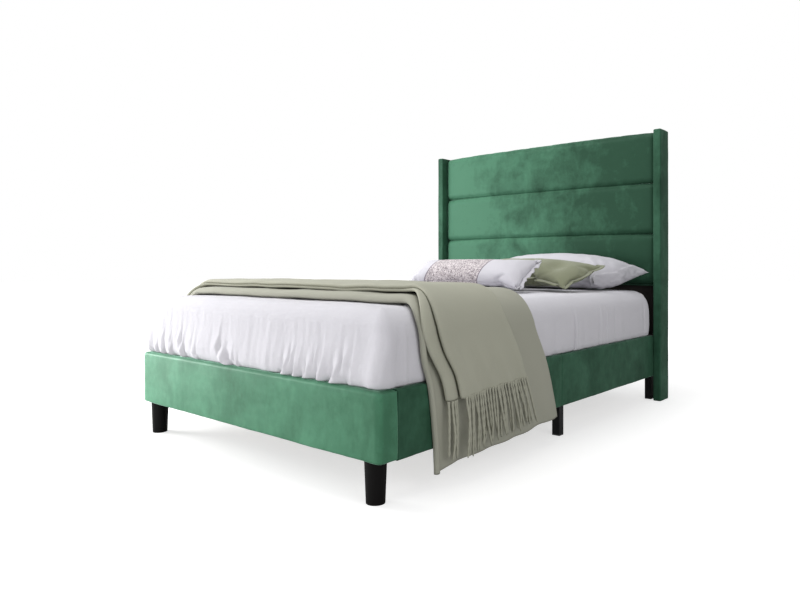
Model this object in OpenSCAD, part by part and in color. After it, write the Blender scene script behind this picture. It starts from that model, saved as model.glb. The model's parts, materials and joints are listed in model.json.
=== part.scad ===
// Upholstered headboard bed, dressed, as an assembly of separate pieces.
// Millimetres. +Z up, +Y towards the head, origin on the floor under the middle of the footprint.

/* [Mattress] */
// Width of the mattress
mattress_w = 1350; // [1100:10:1900]
// Length of the mattress
mattress_l = 1900; // [1550:10:2300]
// Thickness of the mattress
mattress_t = 258; // [180:2:320]
// Corner radius of the mattress in plan
mattress_r = 60; // [30:5:90]

/* [Frame] */
// Clear height under the rails, and so the height of the legs
leg_h = 126; // [90:2:170]
// Height of the upholstered rails and footboard
rail_h = 210; // [150:5:260]
// Thickness of the boards inside the side rails
rail_board_t = 20; // [14:1:26]
// Thickness of foam and velvet on an outer face
face_pad_t = 10; // [6:1:14]
// Thickness of foam and velvet over an edge
edge_pad_t = 8; // [5:1:12]
// Overall thickness of the footboard
foot_t = 75; // [70:1:100]
// Thickness of the boards inside the footboard
foot_board_t = 18; // [12:1:20]
// Corner radius of the footboard in plan
foot_corner_r = 24; // [10:1:30]
// Free space between the mattress and each side rail
side_gap = 5; // [3:1:20]
// Free space between the mattress and the footboard
foot_gap = 20; // [10:1:40]
// Free space between the mattress and the head cross rail
head_gap = 16; // [10:1:40]
// Thickness of the cross rail under the headboard
cross_rail_t = 51; // [45:1:70]

/* [Headboard] */
// Overall height of the bed at the wings
head_h = 1412; // [1200:10:1700]
// Height of the underside of the lowest channel pad
pad_base = 600; // [560:5:640]
// Thickness of a channel pad
pad_t = 32; // [20:1:40]
// Seam gap between neighbouring channel pads
pad_gap = 2; // [1:0.5:4]
// Thickness of the plywood boards of the headboard
board_t = 12; // [9:1:18]
// Thickness of the stiles and battens
stile_t = 27; // [20:1:40]
// Width of the stiles and battens
stile_w = 60; // [40:1:80]
// Thickness of the dust cover on the back
dust_t = 1; // [0.6:0.1:2]
// Thickness of a wing
wing_t = 40; // [34:1:60]
// Depth of a wing, front to back
wing_d = 108; // [90:1:160]

/* [Legs] */
// Top diameter of a front leg
front_leg_top_d = 68; // [56:1:72]
// Bottom diameter of a front leg
front_leg_foot_d = 58; // [40:1:60]
// Side of the square section of the steel legs
steel_leg_w = 34; // [28:1:40]
// Wall thickness of the steel legs and rails
tube_wall = 2; // [1.5:0.5:3]
// Height of the plastic caps under the steel legs
cap_h = 6; // [4:1:10]
// Outer diameter of the round centre legs
centre_leg_d = 32; // [28:1:40]
// Diameter of a levelling glide's foot
glide_d = 40; // [30:1:50]
// Height of a levelling glide's foot
glide_h = 8; // [6:1:12]
// Thread diameter of a levelling glide
glide_stud_d = 10; // [8:1:12]
// Gap that lets a levelling glide screw in
glide_gap = 4; // [3:0.5:8]

/* [Slats] */
// Number of slats
slat_count = 14; // [10:1:16]
// Width of a slat
slat_w = 70; // [50:1:80]
// Thickness of a slat
slat_t = 14; // [10:1:20]
// Depth of the slats' top face below the rails' top edge
slat_drop = 36; // [25:1:50]
// Side of the square section of the ledgers and the centre rail
ledger_s = 25; // [20:1:30]
// Side of the square section of the centre rail
centre_rail_s = 30; // [25:1:34]
// Width of the webbing straps on the slats
strap_w = 25; // [15:1:40]

/* [Hardware] */
// Shank diameter of the bolts
bolt_d = 8; // [5:1:8]
// Thickness of the steel plates and brackets
plate_t = 3; // [2:0.5:4]
// Leg length of a corner bracket
bracket_l = 60; // [50:1:70]
// Height of a corner bracket
bracket_h = 90; // [70:1:100]

/* [Bedding] */
// Thickness of the sheet and its padding over the mattress
sheet_t = 18; // [8:1:30]
// How far the sheet puffs past the mattress at the sides
sheet_side = 25; // [12:1:30]
// How far the sheet puffs past the mattress at the foot
sheet_foot = 66; // [30:1:80]
// Thickness of the blanket where it hangs
blanket_t = 6; // [4:0.5:8]
// Height of the folded blanket on top of the bed
blanket_loft = 34; // [12:1:50]
// Distance from the foot of the bed to the blanket
blanket_from = 200; // [120:10:400]
// Width of the blanket along the bed
blanket_span = 610; // [400:10:800]
// Height of the blanket's lowest corner at the right side
blanket_hem = 55; // [40:5:200]
// How much higher the blanket's hem is at its head side
blanket_hem_rise = 45; // [0:5:100]
// How far the foot side of the blanket's hanging end leans towards the head
blanket_lean_foot = 32; // [0:1:80]
// How far the head side of the blanket's hanging end leans towards the head
blanket_lean_head = 195; // [0:5:260]
// Height of the hems at the left side
left_hem = 370; // [200:5:450]
// Thickness of the throw where it hangs
throw_t = 6; // [4:0.5:8]
// Height of the folded throw on top of the blanket
throw_loft = 26; // [10:1:40]
// Distance from the foot of the bed to the throw
throw_from = 245; // [150:10:420]
// Width of the folded throw along the bed
throw_span = 350; // [250:10:500]
// How far the foot side of the throw's hanging end leans towards the head
throw_lean_foot = 95; // [0:5:160]
// How far the head side of the throw's hanging end leans towards the head
throw_lean_head = 125; // [0:5:200]
// Height of the throw's woven edge at the right side
throw_hem = 285; // [200:5:400]
// Length of the throw's fringe
fringe_l = 185; // [100:5:195]
// Radius of the folds over the top edges of the bedding
bedding_r = 62; // [40:1:80]

/* [Hidden] */
$fn = 48;
touch = 0.3;                 // clearance between soft pieces that lie on each other
seam = 1.5;                  // seam gap between neighbouring covers
bore_gap = 0.2;              // radial clearance of a bolt in its hole
through = 1;                 // how far a cut runs past the face it opens
pad_count = 3;               // channel pads, one node each
cover_round = 0.75;          // share of the padding's thickness that its edges round over
pad_round = 0.42;            // the same for a channel pad
bore_share = 0.8;            // share of a board's thickness that a bolt's hole goes into
bolt_share = 0.7;            // share that the bolt itself goes into

// Distances that place one piece from another
frame_drop = 12;             // from the wings' tops down to the headboard's frame
pad_drop = 7;                // from the wings' tops down to the top channel pad
panel_drop = 4;              // from the lowest channel pad down to the lower panel
front_leg_in = 62;           // from the bed's side in to a front leg's axis
front_leg_back = 2;          // from the footboard boards' middle back to a front leg's axis
steel_leg_in = 20;           // from the bed's side in to a steel leg
joint_leg_back = 13;         // from the rails' seam back to a joint leg
rear_leg_back = 9;           // from the cross rail's front back to a rear leg
centre_leg_shift = 40;       // from the rails' quarter points back to the centre legs
ledger_end = 6;              // from a rail's ends to its ledger
slat_end = 4;                // from the rails to the slats' ends
slat_margin = 12;            // from the footboard and the cross rail to the outer slats
strap_places = [-0.23, 0.23]; // shares of a slat's length from its middle to the straps

// Widths, from the middle outwards
well_w = mattress_w + 2 * side_gap;
rail_t = rail_board_t + face_pad_t;
bed_w = well_w + 2 * rail_t;
wing_board_t = wing_t - 2 * edge_pad_t;

// Lengths, from the foot to the head
rail_l = foot_gap + mattress_l + head_gap;
head_t = board_t + stile_t + dust_t;
bed_l = foot_t + rail_l + cross_rail_t + head_t;
y_foot = -bed_l / 2;
y_well = y_foot + foot_t;
y_mattress = y_well + foot_gap;
y_rail_end = y_well + rail_l;
y_board = y_rail_end + cross_rail_t;
y_stile = y_board + board_t;
y_back = bed_l / 2;
y_seam = y_well + rail_l / 2;

// Heights
z_rail = leg_h + rail_h;
z_slat = z_rail - slat_drop;
z_ledger = z_slat - slat_t - ledger_s;
z_centre_rail = z_slat - slat_t - centre_rail_s;
strap_t = 1;
z_mattress = z_slat + strap_t + touch;
z_sheet = z_mattress + mattress_t + sheet_t;
head_frame_top = head_h - frame_drop;
pad_top_z = head_h - pad_drop;
pad_pitch = (pad_top_z - pad_base) / pad_count;
panel_split = pad_base - panel_drop;

// Places of the legs
front_leg_x = bed_w / 2 - front_leg_in;
front_leg_y = y_foot + (foot_t + face_pad_t) / 2 + front_leg_back;
steel_leg_x = bed_w / 2 - steel_leg_in - steel_leg_w;
joint_leg_y = y_seam + joint_leg_back;
rear_leg_y = y_rail_end + rear_leg_back;
centre_leg_spots = [for (k = [1 : 3]) y_well + rail_l * k / 4 + centre_leg_shift];

// Hardware; the joint plates and the brackets share the room between the rails' undersides and the ledgers
bolt_r = bolt_d / 2;
hole_r = bolt_r + bore_gap;
bolt_head_r = bolt_d * 0.9;
bolt_head_h = 5;
leg_screw_l = rail_h * 0.17;
joint_plate_l = 150;
under_ledger = z_ledger - leg_h;
joint_plate_gap = 23;
joint_plate_h = under_ledger - joint_plate_gap;
bracket_low = 4 / 15;        // share of the room left over that is under the brackets
bracket_z = leg_h + bracket_low * (under_ledger - bracket_h);
bolt_rise = [bracket_h * 0.25, bracket_h * 0.75];
bracket_bolt_at = bracket_l * 0.62;
joint_bolt_y = [-joint_plate_l * 0.38, joint_plate_l * 0.38];
joint_bolt_z = [leg_h + joint_plate_h * 0.3, leg_h + joint_plate_h * 0.82];
batten_z = [panel_split - stile_w / 2, (panel_split + head_frame_top - stile_w) / 2, head_frame_top - stile_w];
wing_bolt_low = 100;
wing_bolt_z = [leg_h + wing_bolt_low, batten_z[0] - stile_w, (batten_z[0] + batten_z[1] + stile_w) / 2,
    (batten_z[1] + batten_z[2] + stile_w) / 2];
wing_bolt_y = y_stile + stile_t / 2;

// Bedding
hang_gap = 1.5;              // between the rail covers and the hanging blanket
layer_gap = 1;               // between the hanging blanket and the hanging throw
left_hem_step = 10;          // from the blanket's left hem up to the throw's
sheet_head = 0.4;            // share of the head gap that the sheet fills
blanket_in = bed_w / 2 + hang_gap;
throw_in = blanket_in + blanket_t + layer_gap;
blanket_r = bedding_r + blanket_loft / 2;
pillow_edge_r = 9;
pillow_middle = [0.74, 0.86]; // shares of a pillow's width and depth that its fat middle takes up
// Each pillow: width, depth, thickness, tilt, droop of the corners, middle in X, distance from its middle
// to the mattress's head end, height of its middle above the sheet
pillow_white_at = [940, 400, 190, 11, 42, 218, 182, 100];
pillow_sage_at = [770, 320, 150, 20, 26, 222, 496, 96];
pillow_patterned_at = [820, 250, 120, 34, 6, 12, 730, 92];

// ---------- shared shapes ----------

// A square with a corner at the origin and its four corners rounded with true arcs.
module round_rect(w, h, r) {
    translate([r, 0]) square([w - 2 * r, h]);
    translate([0, r]) square([w, h - 2 * r]);
    for (x = [r, w - r], y = [r, h - r]) translate([x, y]) circle(r = r);
}

// Extrudes a profile drawn in X and Z along +Y.
module along_y(l) {
    translate([0, l, 0]) rotate([90, 0, 0]) linear_extrude(l) children();
}

// Extrudes a profile drawn in Y and Z along +X.
module along_x(l) {
    rotate([90, 0, 90]) linear_extrude(l) children();
}

// Shows what is drawn for the right side (+X) at the left side too.
module at_side(side) {
    mirror([side < 0 ? 1 : 0, 0, 0]) children();
}

// A square tube along +Y with its corner at the origin.
module square_tube(s, l, wall) {
    difference() {
        cube([s, l, s]);
        translate([wall, -through, wall]) cube([s - 2 * wall, l + 2 * through, s - 2 * wall]);
    }
}

// A bolt whose head's underside is at the origin and whose shank runs along +Z.
module bolt(l) {
    cylinder(r = bolt_r, h = l);
    translate([0, 0, -bolt_head_h]) cylinder(r = bolt_head_r, h = bolt_head_h);
}

// A hole for that bolt.
module bolt_hole(l) {
    translate([0, 0, -through]) cylinder(r = hole_r, h = l + 2 * through);
}

// ---------- headboard ----------

module panel(z0, z1) {
    translate([-bed_w / 2, y_board, z0]) cube([bed_w, board_t, z1 - z0]);
}

module headboard_board() { color("burlywood") panel(panel_split, head_frame_top); }

module lower_panel() { color("#241f1d") panel(leg_h, panel_split); }

module wing_bolt_places() {
    for (z = wing_bolt_z) translate([bed_w / 2 - stile_w, wing_bolt_y, z]) rotate([0, 90, 0]) children();
}

module stile(side) {
    color("burlywood") at_side(side) difference() {
        translate([bed_w / 2 - stile_w, y_stile, leg_h]) cube([stile_w, stile_t, head_frame_top - leg_h]);
        wing_bolt_places() bolt_hole(stile_w);
    }
}

module batten(z) {
    color("burlywood") translate([stile_w - bed_w / 2, y_stile, z])
        cube([bed_w - 2 * stile_w, stile_t, stile_w]);
}

module back_dust_cover() {
    color("#1d1d1f") translate([-bed_w / 2, y_back - dust_t, leg_h])
        cube([bed_w, dust_t, head_frame_top - leg_h]);
}

// Channel pad number k, counted from the top.
module channel_pad(k) {
    pad_h = pad_pitch - pad_gap;
    color("seagreen") translate([seam - bed_w / 2, y_board - pad_t, pad_top_z - k * pad_pitch - pad_h])
        along_x(bed_w - 2 * seam) round_rect(pad_t, pad_h, pad_t * pad_round);
}

module wing_core(side) {
    color("burlywood") at_side(side) difference() {
        translate([bed_w / 2 + edge_pad_t, y_back - wing_d + edge_pad_t, edge_pad_t])
            cube([wing_board_t, wing_d - edge_pad_t, head_h - 2 * edge_pad_t]);
        wing_bolt_places() bolt_hole(stile_w + edge_pad_t + wing_board_t * bore_share);
    }
}

module wing_cover(side) {
    color("seagreen") at_side(side) difference() {
        translate([bed_w / 2, y_back - wing_d, 0])
            linear_extrude(head_h) round_rect(wing_t, wing_d, edge_pad_t * cover_round);
        translate([bed_w / 2 + edge_pad_t, y_back - wing_d + edge_pad_t, edge_pad_t])
            cube([wing_board_t, wing_d, head_h - 2 * edge_pad_t]);
        wing_bolt_places() bolt_hole(stile_w + edge_pad_t);
    }
}

module wing_bolts() {
    color("silver") for (side = [-1, 1]) at_side(side)
        wing_bolt_places() bolt(stile_w + edge_pad_t + wing_board_t * bore_share);
}

module head_cross_rail() {
    color("#241f1d") difference() {
        translate([-bed_w / 2, y_rail_end, leg_h]) cube([bed_w, cross_rail_t, rail_h]);
        bracket_cross_bolts(1) bolt_hole(cross_rail_t * bore_share);
        rear_leg_bolts() bolt_hole(leg_screw_l * 1.2);
    }
}

// ---------- footboard ----------

foot_in_w = bed_w - 2 * face_pad_t;
foot_in_z = leg_h + edge_pad_t;
foot_in_h = rail_h - 2 * edge_pad_t;
foot_block_w = 110;
foot_block_t = foot_t - face_pad_t - 2 * foot_board_t;

module footboard_front_board() {
    color("burlywood") translate([-foot_in_w / 2, y_foot + face_pad_t, foot_in_z])
        cube([foot_in_w, foot_board_t, foot_in_h]);
}

module footboard_back_board() {
    color("burlywood") difference() {
        translate([-foot_in_w / 2, y_well - foot_board_t, foot_in_z])
            cube([foot_in_w, foot_board_t, foot_in_h]);
        bracket_cross_bolts(-1) bolt_hole(foot_board_t * 2);
    }
}

// A block at each end takes a leg's stud, and one in the middle stiffens the footboard.
module footboard_blocks() {
    half = foot_block_w / 2;
    spans = [[-foot_in_w / 2, half - front_leg_x], [-half, half], [front_leg_x - half, foot_in_w / 2]];
    color("burlywood") difference() {
        for (span = spans)
            translate([span[0], y_foot + face_pad_t + foot_board_t, foot_in_z])
                cube([span[1] - span[0], foot_block_t, foot_in_h]);
        for (side = [-1, 1]) front_leg_stud_place(side) bolt_hole(front_stud_l);
        bracket_cross_bolts(-1) bolt_hole(foot_board_t * 2);
    }
}

module footboard_cover() {
    color("seagreen") difference() {
        translate([-bed_w / 2, y_foot, leg_h]) linear_extrude(rail_h) difference() {
            round_rect(bed_w, foot_t + foot_corner_r, foot_corner_r);
            translate([-through, foot_t - seam / 2]) square([bed_w + 2 * through, 2 * foot_corner_r]);
        }
        translate([-foot_in_w / 2, y_foot + face_pad_t, foot_in_z]) cube([foot_in_w, foot_t, foot_in_h]);
        for (side = [-1, 1]) front_leg_stud_place(side) bolt_hole(front_stud_l);
    }
}

// ---------- legs ----------

front_stud_l = 70;
front_stud_in = 32;

module front_leg_stud_place(side) {
    translate([side * front_leg_x, front_leg_y, leg_h - front_stud_in]) children();
}

module front_leg(side) {
    color("#1b1a1a") difference() {
        translate([side * front_leg_x, front_leg_y, 0])
            cylinder(d1 = front_leg_foot_d, d2 = front_leg_top_d, h = leg_h, $fn = 64);
        front_leg_stud_place(side) bolt_hole(front_stud_l);
    }
}

module front_leg_studs() {
    color("silver") for (side = [-1, 1]) front_leg_stud_place(side) cylinder(r = bolt_r, h = front_stud_l);
}

// A square steel leg with its top plate, its left front corner at the origin and its top at leg_h.
module steel_leg() {
    difference() {
        translate([0, 0, cap_h]) cube([steel_leg_w, steel_leg_w, leg_h - cap_h]);
        translate([tube_wall, tube_wall, cap_h - through])
            cube([steel_leg_w - 2 * tube_wall, steel_leg_w - 2 * tube_wall, leg_h - cap_h - plate_t + through]);
    }
}

module leg_cap() {
    cube([steel_leg_w, steel_leg_w, cap_h]);
    translate([tube_wall + touch, tube_wall + touch, cap_h])
        cube([steel_leg_w - 2 * tube_wall - 2 * touch, steel_leg_w - 2 * tube_wall - 2 * touch, cap_h * 2]);
}

module joint_bolt_places() {
    for (y = joint_bolt_y, z = joint_bolt_z)
        translate([well_w / 2 - plate_t, y_seam + y, z]) rotate([0, 90, 0]) children();
}

// The plate that joins the two halves of a side rail, with the leg welded under it.
module joint_leg(side) {
    color("#161616") at_side(side) difference() {
        union() {
            translate([steel_leg_x, joint_leg_y, 0]) steel_leg();
            translate([well_w / 2 - plate_t, joint_leg_y, leg_h - plate_t])
                cube([plate_t, steel_leg_w, plate_t * 3]);
            translate([well_w / 2 - plate_t, y_seam - joint_plate_l / 2, leg_h + plate_t])
                cube([plate_t, joint_plate_l, joint_plate_h - plate_t]);
        }
        joint_bolt_places() bolt_hole(plate_t);
    }
}

module rear_leg_bolts() {
    for (side = [-1, 1]) at_side(side)
        translate([steel_leg_x + steel_leg_w / 2, rear_leg_y + steel_leg_w / 2, leg_h - plate_t]) children();
}

module rear_leg(side) {
    color("#161616") difference() {
        at_side(side) translate([steel_leg_x, rear_leg_y, 0]) steel_leg();
        rear_leg_bolts() bolt_hole(plate_t);
    }
}

module leg_caps() {
    color("#2b2b2b") for (side = [-1, 1], y = [joint_leg_y, rear_leg_y])
        at_side(side) translate([steel_leg_x, y, 0]) leg_cap();
}

// ---------- side rails ----------

rail_half_l = rail_l / 2 - seam / 2;

function rail_y(rear) = rear ? y_seam + seam / 2 : y_well;

module rail_board(side, rear) {
    color("burlywood") at_side(side) difference() {
        translate([well_w / 2, rail_y(rear), leg_h + edge_pad_t])
            cube([rail_board_t, rail_half_l, rail_h - 2 * edge_pad_t]);
        bracket_side_bolts(rear ? 1 : -1) bolt_hole(rail_board_t * bore_share);
        joint_bolt_places() bolt_hole(rail_board_t * bore_share);
    }
}

module rail_cover(side, rear) {
    color("seagreen") at_side(side) difference() {
        translate([well_w / 2, rail_y(rear), leg_h]) along_y(rail_half_l) difference() {
            translate([-rail_t, 0]) round_rect(2 * rail_t, rail_h, edge_pad_t * cover_round);
            translate([-rail_t - through, -through]) square([rail_t + through, rail_h + 2 * through]);
        }
        translate([well_w / 2 - through, y_well - through, leg_h + edge_pad_t])
            cube([rail_board_t + through, rail_l + 2 * through, rail_h - 2 * edge_pad_t]);
    }
}

module ledger(side) {
    color("tan") at_side(side) for (rear = [false, true])
        translate([well_w / 2 - ledger_s, rail_y(rear) + ledger_end, z_ledger])
            cube([ledger_s, rail_half_l - 2 * ledger_end, ledger_s]);
}

// ---------- corner brackets and bolts ----------

// End of the rails that a bracket sits at: -1 at the footboard, 1 at the headboard.
function bracket_y(end) = end < 0 ? y_well : y_rail_end;

// Bolt places through the bracket leg on the side rail, pointing outwards.
module bracket_side_bolts(end) {
    for (rise = bolt_rise)
        translate([well_w / 2 - plate_t, bracket_y(end) - end * bracket_bolt_at, bracket_z + rise])
            rotate([0, 90, 0]) children();
}

// Bolt places through the bracket leg on the footboard or the cross rail, on both sides of the bed.
module bracket_cross_bolts(end) {
    for (side = [-1, 1], rise = bolt_rise) at_side(side)
        translate([well_w / 2 - bracket_bolt_at, bracket_y(end) - end * plate_t, bracket_z + rise])
            rotate([-90 * end, 0, 0]) children();
}

module brackets(end) {
    color("dimgray") difference() {
        for (side = [-1, 1]) at_side(side) {
            translate([well_w / 2 - plate_t, bracket_y(end) - (end < 0 ? 0 : bracket_l), bracket_z])
                cube([plate_t, bracket_l, bracket_h]);
            translate([well_w / 2 - bracket_l, bracket_y(end) - (end < 0 ? 0 : plate_t), bracket_z])
                cube([bracket_l, plate_t, bracket_h]);
        }
        for (side = [-1, 1]) at_side(side) bracket_side_bolts(end) bolt_hole(plate_t);
        bracket_cross_bolts(end) bolt_hole(plate_t);
    }
}

module frame_bolts() {
    color("silver") {
        for (side = [-1, 1], end = [-1, 1])
            at_side(side) bracket_side_bolts(end) bolt(plate_t + rail_board_t * bolt_share);
        bracket_cross_bolts(-1) bolt(plate_t + foot_board_t * bolt_share);
        bracket_cross_bolts(1) bolt(plate_t + cross_rail_t * bolt_share);
        for (side = [-1, 1]) at_side(side) joint_bolt_places() bolt(plate_t + rail_board_t * bolt_share);
        rear_leg_bolts() bolt(plate_t + leg_screw_l);
    }
}

// ---------- centre support ----------

centre_rail_l = rail_l - 2 * plate_t;
sleeve_l = 160;
tongue_l = 50;
sleeve_s = centre_rail_s - 2 * tube_wall - 2 * touch;

module centre_rail(rear) {
    half = (centre_rail_l - seam) / 2;
    color("#1f1f1f") translate([-centre_rail_s / 2, y_well + plate_t + (rear ? half + seam : 0), z_centre_rail])
        square_tube(centre_rail_s, half, tube_wall);
}

module centre_rail_sleeve() {
    color("silver") translate([-sleeve_s / 2, y_seam - sleeve_l / 2, z_centre_rail + tube_wall + touch])
        square_tube(sleeve_s, sleeve_l, tube_wall);
}

// A saddle at each end: a plate on the board and a tongue that goes into the tube.
module centre_rail_hangers() {
    tongue = [sleeve_s, tongue_l, sleeve_s];
    color("dimgray") for (end = [-1, 1]) {
        translate([-centre_rail_s, end < 0 ? y_well : y_rail_end - plate_t, z_centre_rail - plate_t])
            cube([2 * centre_rail_s, plate_t, centre_rail_s + plate_t]);
        translate([-sleeve_s / 2, end < 0 ? y_well + plate_t : y_rail_end - plate_t - tongue[1],
                   z_centre_rail + tube_wall + touch]) cube(tongue);
    }
}

glide_bore_gap = 0.08;
leg_foot_z = glide_h + glide_gap;
leg_insert_h = 45;
glide_stud_l = 30;

module centre_legs() {
    color("#1f1f1f") for (y = centre_leg_spots) translate([0, y, leg_foot_z]) difference() {
        cylinder(d = centre_leg_d, h = z_centre_rail - leg_foot_z);
        translate([0, 0, leg_insert_h])
            cylinder(d = centre_leg_d - 2 * tube_wall, h = z_centre_rail - leg_foot_z - leg_insert_h - plate_t);
        translate([0, 0, -through])
            cylinder(d = glide_stud_d + 2 * glide_bore_gap, h = leg_insert_h + 2 * through);
    }
}

module centre_glide(k) {
    color("#2b2b2b") translate([0, centre_leg_spots[k], 0]) {
        cylinder(d = glide_d, h = glide_h);
        translate([0, 0, glide_h]) cylinder(d = glide_stud_d, h = glide_stud_l);
    }
}

// ---------- slats ----------

slat_l = well_w - 2 * slat_end;
slat_first = y_well + slat_w / 2 + slat_margin;
slat_pitch = (rail_l - slat_w - 2 * slat_margin) / (slat_count - 1);

module slats() {
    color("wheat") for (k = [0 : slat_count - 1])
        translate([-slat_l / 2, slat_first + k * slat_pitch - slat_w / 2, z_slat - slat_t])
            cube([slat_l, slat_w, slat_t]);
}

module slat_straps() {
    color("dimgray") for (x = strap_places * slat_l)
        translate([x - strap_w / 2, slat_first - slat_w / 2, z_slat])
            cube([strap_w, (slat_count - 1) * slat_pitch + slat_w, strap_t]);
}

// ---------- bedding ----------

module mattress() {
    color("white") translate([-mattress_w / 2, y_mattress, z_mattress])
        linear_extrude(mattress_t) round_rect(mattress_w, mattress_l, mattress_r);
}

// The sheet is tucked all round, so its skirt ends just over the rails.
module bed_sheet() {
    half_w = mattress_w / 2 + sheet_side;
    y0 = y_mattress - sheet_foot;
    y1 = y_mattress + mattress_l + head_gap * sheet_head;
    r = bedding_r;
    color("white") difference() {
        hull() for (x = [r - half_w, half_w - r], y = [y0 + r, y1 - r]) translate([x, y, 0]) {
            translate([0, 0, z_rail + touch]) cylinder(r = r, h = 1, $fn = 32);
            translate([0, 0, z_sheet - r]) sphere(r = r, $fn = 32);
        }
        translate([-mattress_w / 2 - touch, y_mattress - touch, z_mattress])
            linear_extrude(mattress_t + touch) round_rect(mattress_w + 2 * touch, mattress_l + 2 * touch, mattress_r);
    }
}

// A length of folded cloth across the bed: a band with rounded folds, from one place along the bed over
// a span, and an end that hangs from it at the right, leans, and ends at the heights in hems.
// radii are those of the folds inside and outside.
module draped_cloth(half_in, z_in, radii, t, loft, from, span, lean, hems, hem_left) {
    half_out = half_in + t;
    z_fold = z_in - radii[0];
    translate([0, y_foot + from, 0]) {
        along_y(span) difference() {
            translate([-half_out, 0]) round_rect(2 * half_out, z_in + loft, radii[1]);
            translate([-half_in, -radii[0]]) round_rect(2 * half_in, z_in + radii[0], radii[0]);
            translate([0, -through]) square([half_out + through, z_fold + through]);
            translate([-half_out - through, -through]) square([half_out + through, hem_left + through]);
        }
        translate([half_in, 0, 0]) along_x(t)
            polygon([[0, z_fold], [span, z_fold], [span + lean[1], hems[1]], [lean[0], hems[0]]]);
    }
}

module blanket() {
    color("#7e7f6c") draped_cloth(blanket_in, z_sheet + touch, [bedding_r, blanket_r], blanket_t,
        blanket_loft, blanket_from, blanket_span, [blanket_lean_foot, blanket_lean_head],
        [blanket_hem, blanket_hem + blanket_hem_rise], left_hem);
}

// The fringe is the thinner band below the woven edge.
module throw() {
    color("#8b8c78") {
        draped_cloth(throw_in, z_sheet + blanket_loft + 2 * touch, [blanket_r, blanket_r + throw_loft / 2],
            throw_t, throw_loft, throw_from, throw_span, [throw_lean_foot, throw_lean_head],
            [throw_hem, throw_hem], left_hem + left_hem_step);
        translate([throw_in, y_foot + throw_from + throw_lean_foot, throw_hem - fringe_l])
            cube([throw_t / 2, throw_span + throw_lean_head - throw_lean_foot, fringe_l]);
    }
}

// A cushion: a fat middle and four flat corners that droop. The values are those of a pillow list.
module pillow(p) {
    translate([p[5], y_mattress + mattress_l - p[6], z_sheet + p[7]]) rotate([p[3], 0, 0]) hull() {
        resize([p[0] * pillow_middle.x, p[1] * pillow_middle.y, p[2]]) sphere(d = 100, $fn = 32);
        for (x = [-0.5, 0.5], y = [-0.5, 0.5])
            translate([x * (p[0] - 2 * pillow_edge_r), y * (p[1] - 2 * pillow_edge_r), -p[4]])
                sphere(r = pillow_edge_r, $fn = 16);
    }
}

// ---------- nodes ----------

headboard_board();
lower_panel();
stile(-1);  // stile_left
stile(1);  // stile_right
batten(batten_z[2]);  // top_batten
batten(batten_z[1]);  // middle_batten
batten(batten_z[0]);  // bottom_batten
back_dust_cover();
channel_pad(0);  // pad_top
channel_pad(1);  // pad_middle
channel_pad(2);  // pad_lower
wing_core(-1);  // wing_core_left
wing_core(1);  // wing_core_right
wing_cover(-1);  // wing_cover_left
wing_cover(1);  // wing_cover_right
wing_bolts();
head_cross_rail();
footboard_front_board();
footboard_back_board();
footboard_blocks();
footboard_cover();
front_leg(-1);  // front_leg_left
front_leg(1);  // front_leg_right
front_leg_studs();
joint_leg(-1);  // joint_leg_left
joint_leg(1);  // joint_leg_right
rear_leg(-1);  // rear_leg_left
rear_leg(1);  // rear_leg_right
leg_caps();
rail_board(-1, false);  // rail_front_left_board
rail_cover(-1, false);  // rail_front_left_cover
rail_board(1, false);  // rail_front_right_board
rail_cover(1, false);  // rail_front_right_cover
rail_board(-1, true);  // rail_rear_left_board
rail_cover(-1, true);  // rail_rear_left_cover
rail_board(1, true);  // rail_rear_right_board
rail_cover(1, true);  // rail_rear_right_cover
ledger(-1);  // ledger_left
ledger(1);  // ledger_right
brackets(-1);  // foot_brackets
brackets(1);  // head_brackets
frame_bolts();
centre_rail(false);  // centre_rail_front
centre_rail(true);  // centre_rail_rear
centre_rail_sleeve();
centre_rail_hangers();
centre_legs();
centre_glide(0);  // centre_glide_front
centre_glide(1);  // centre_glide_middle
centre_glide(2);  // centre_glide_rear
slats();
slat_straps();
mattress();
bed_sheet();
blanket();
throw();
color("white") pillow(pillow_white_at);  // pillow_white
color("#8b8c78") pillow(pillow_sage_at);  // pillow_sage
color("lightgray") pillow(pillow_patterned_at);  // pillow_patterned
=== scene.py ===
"""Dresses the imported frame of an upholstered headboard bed: velvet, linen, wool, cushions and a studio."""

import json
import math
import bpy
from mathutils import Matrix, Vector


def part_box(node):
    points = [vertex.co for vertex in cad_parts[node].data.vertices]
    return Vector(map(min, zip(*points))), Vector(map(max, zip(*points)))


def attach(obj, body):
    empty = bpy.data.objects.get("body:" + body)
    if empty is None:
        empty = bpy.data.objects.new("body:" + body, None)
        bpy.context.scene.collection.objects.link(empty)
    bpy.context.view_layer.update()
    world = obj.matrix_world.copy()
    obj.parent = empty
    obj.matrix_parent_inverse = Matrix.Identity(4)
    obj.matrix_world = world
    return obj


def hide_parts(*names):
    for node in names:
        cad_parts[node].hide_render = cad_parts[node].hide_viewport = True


bl_info = {
    "name": "Headboard Bed",
    "version": (1, 0, 0),
    "blender": (4, 5, 0),
    "location": "View3D > Sidebar > Bed",
    "description": "Upholsters and dresses a bed frame, and sets up its studio",
    "category": "Object",
}

import bmesh
import bpy
import numpy as np
from bpy.props import BoolProperty, FloatProperty, FloatVectorProperty, IntProperty, PointerProperty
from mathutils import Vector

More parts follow.
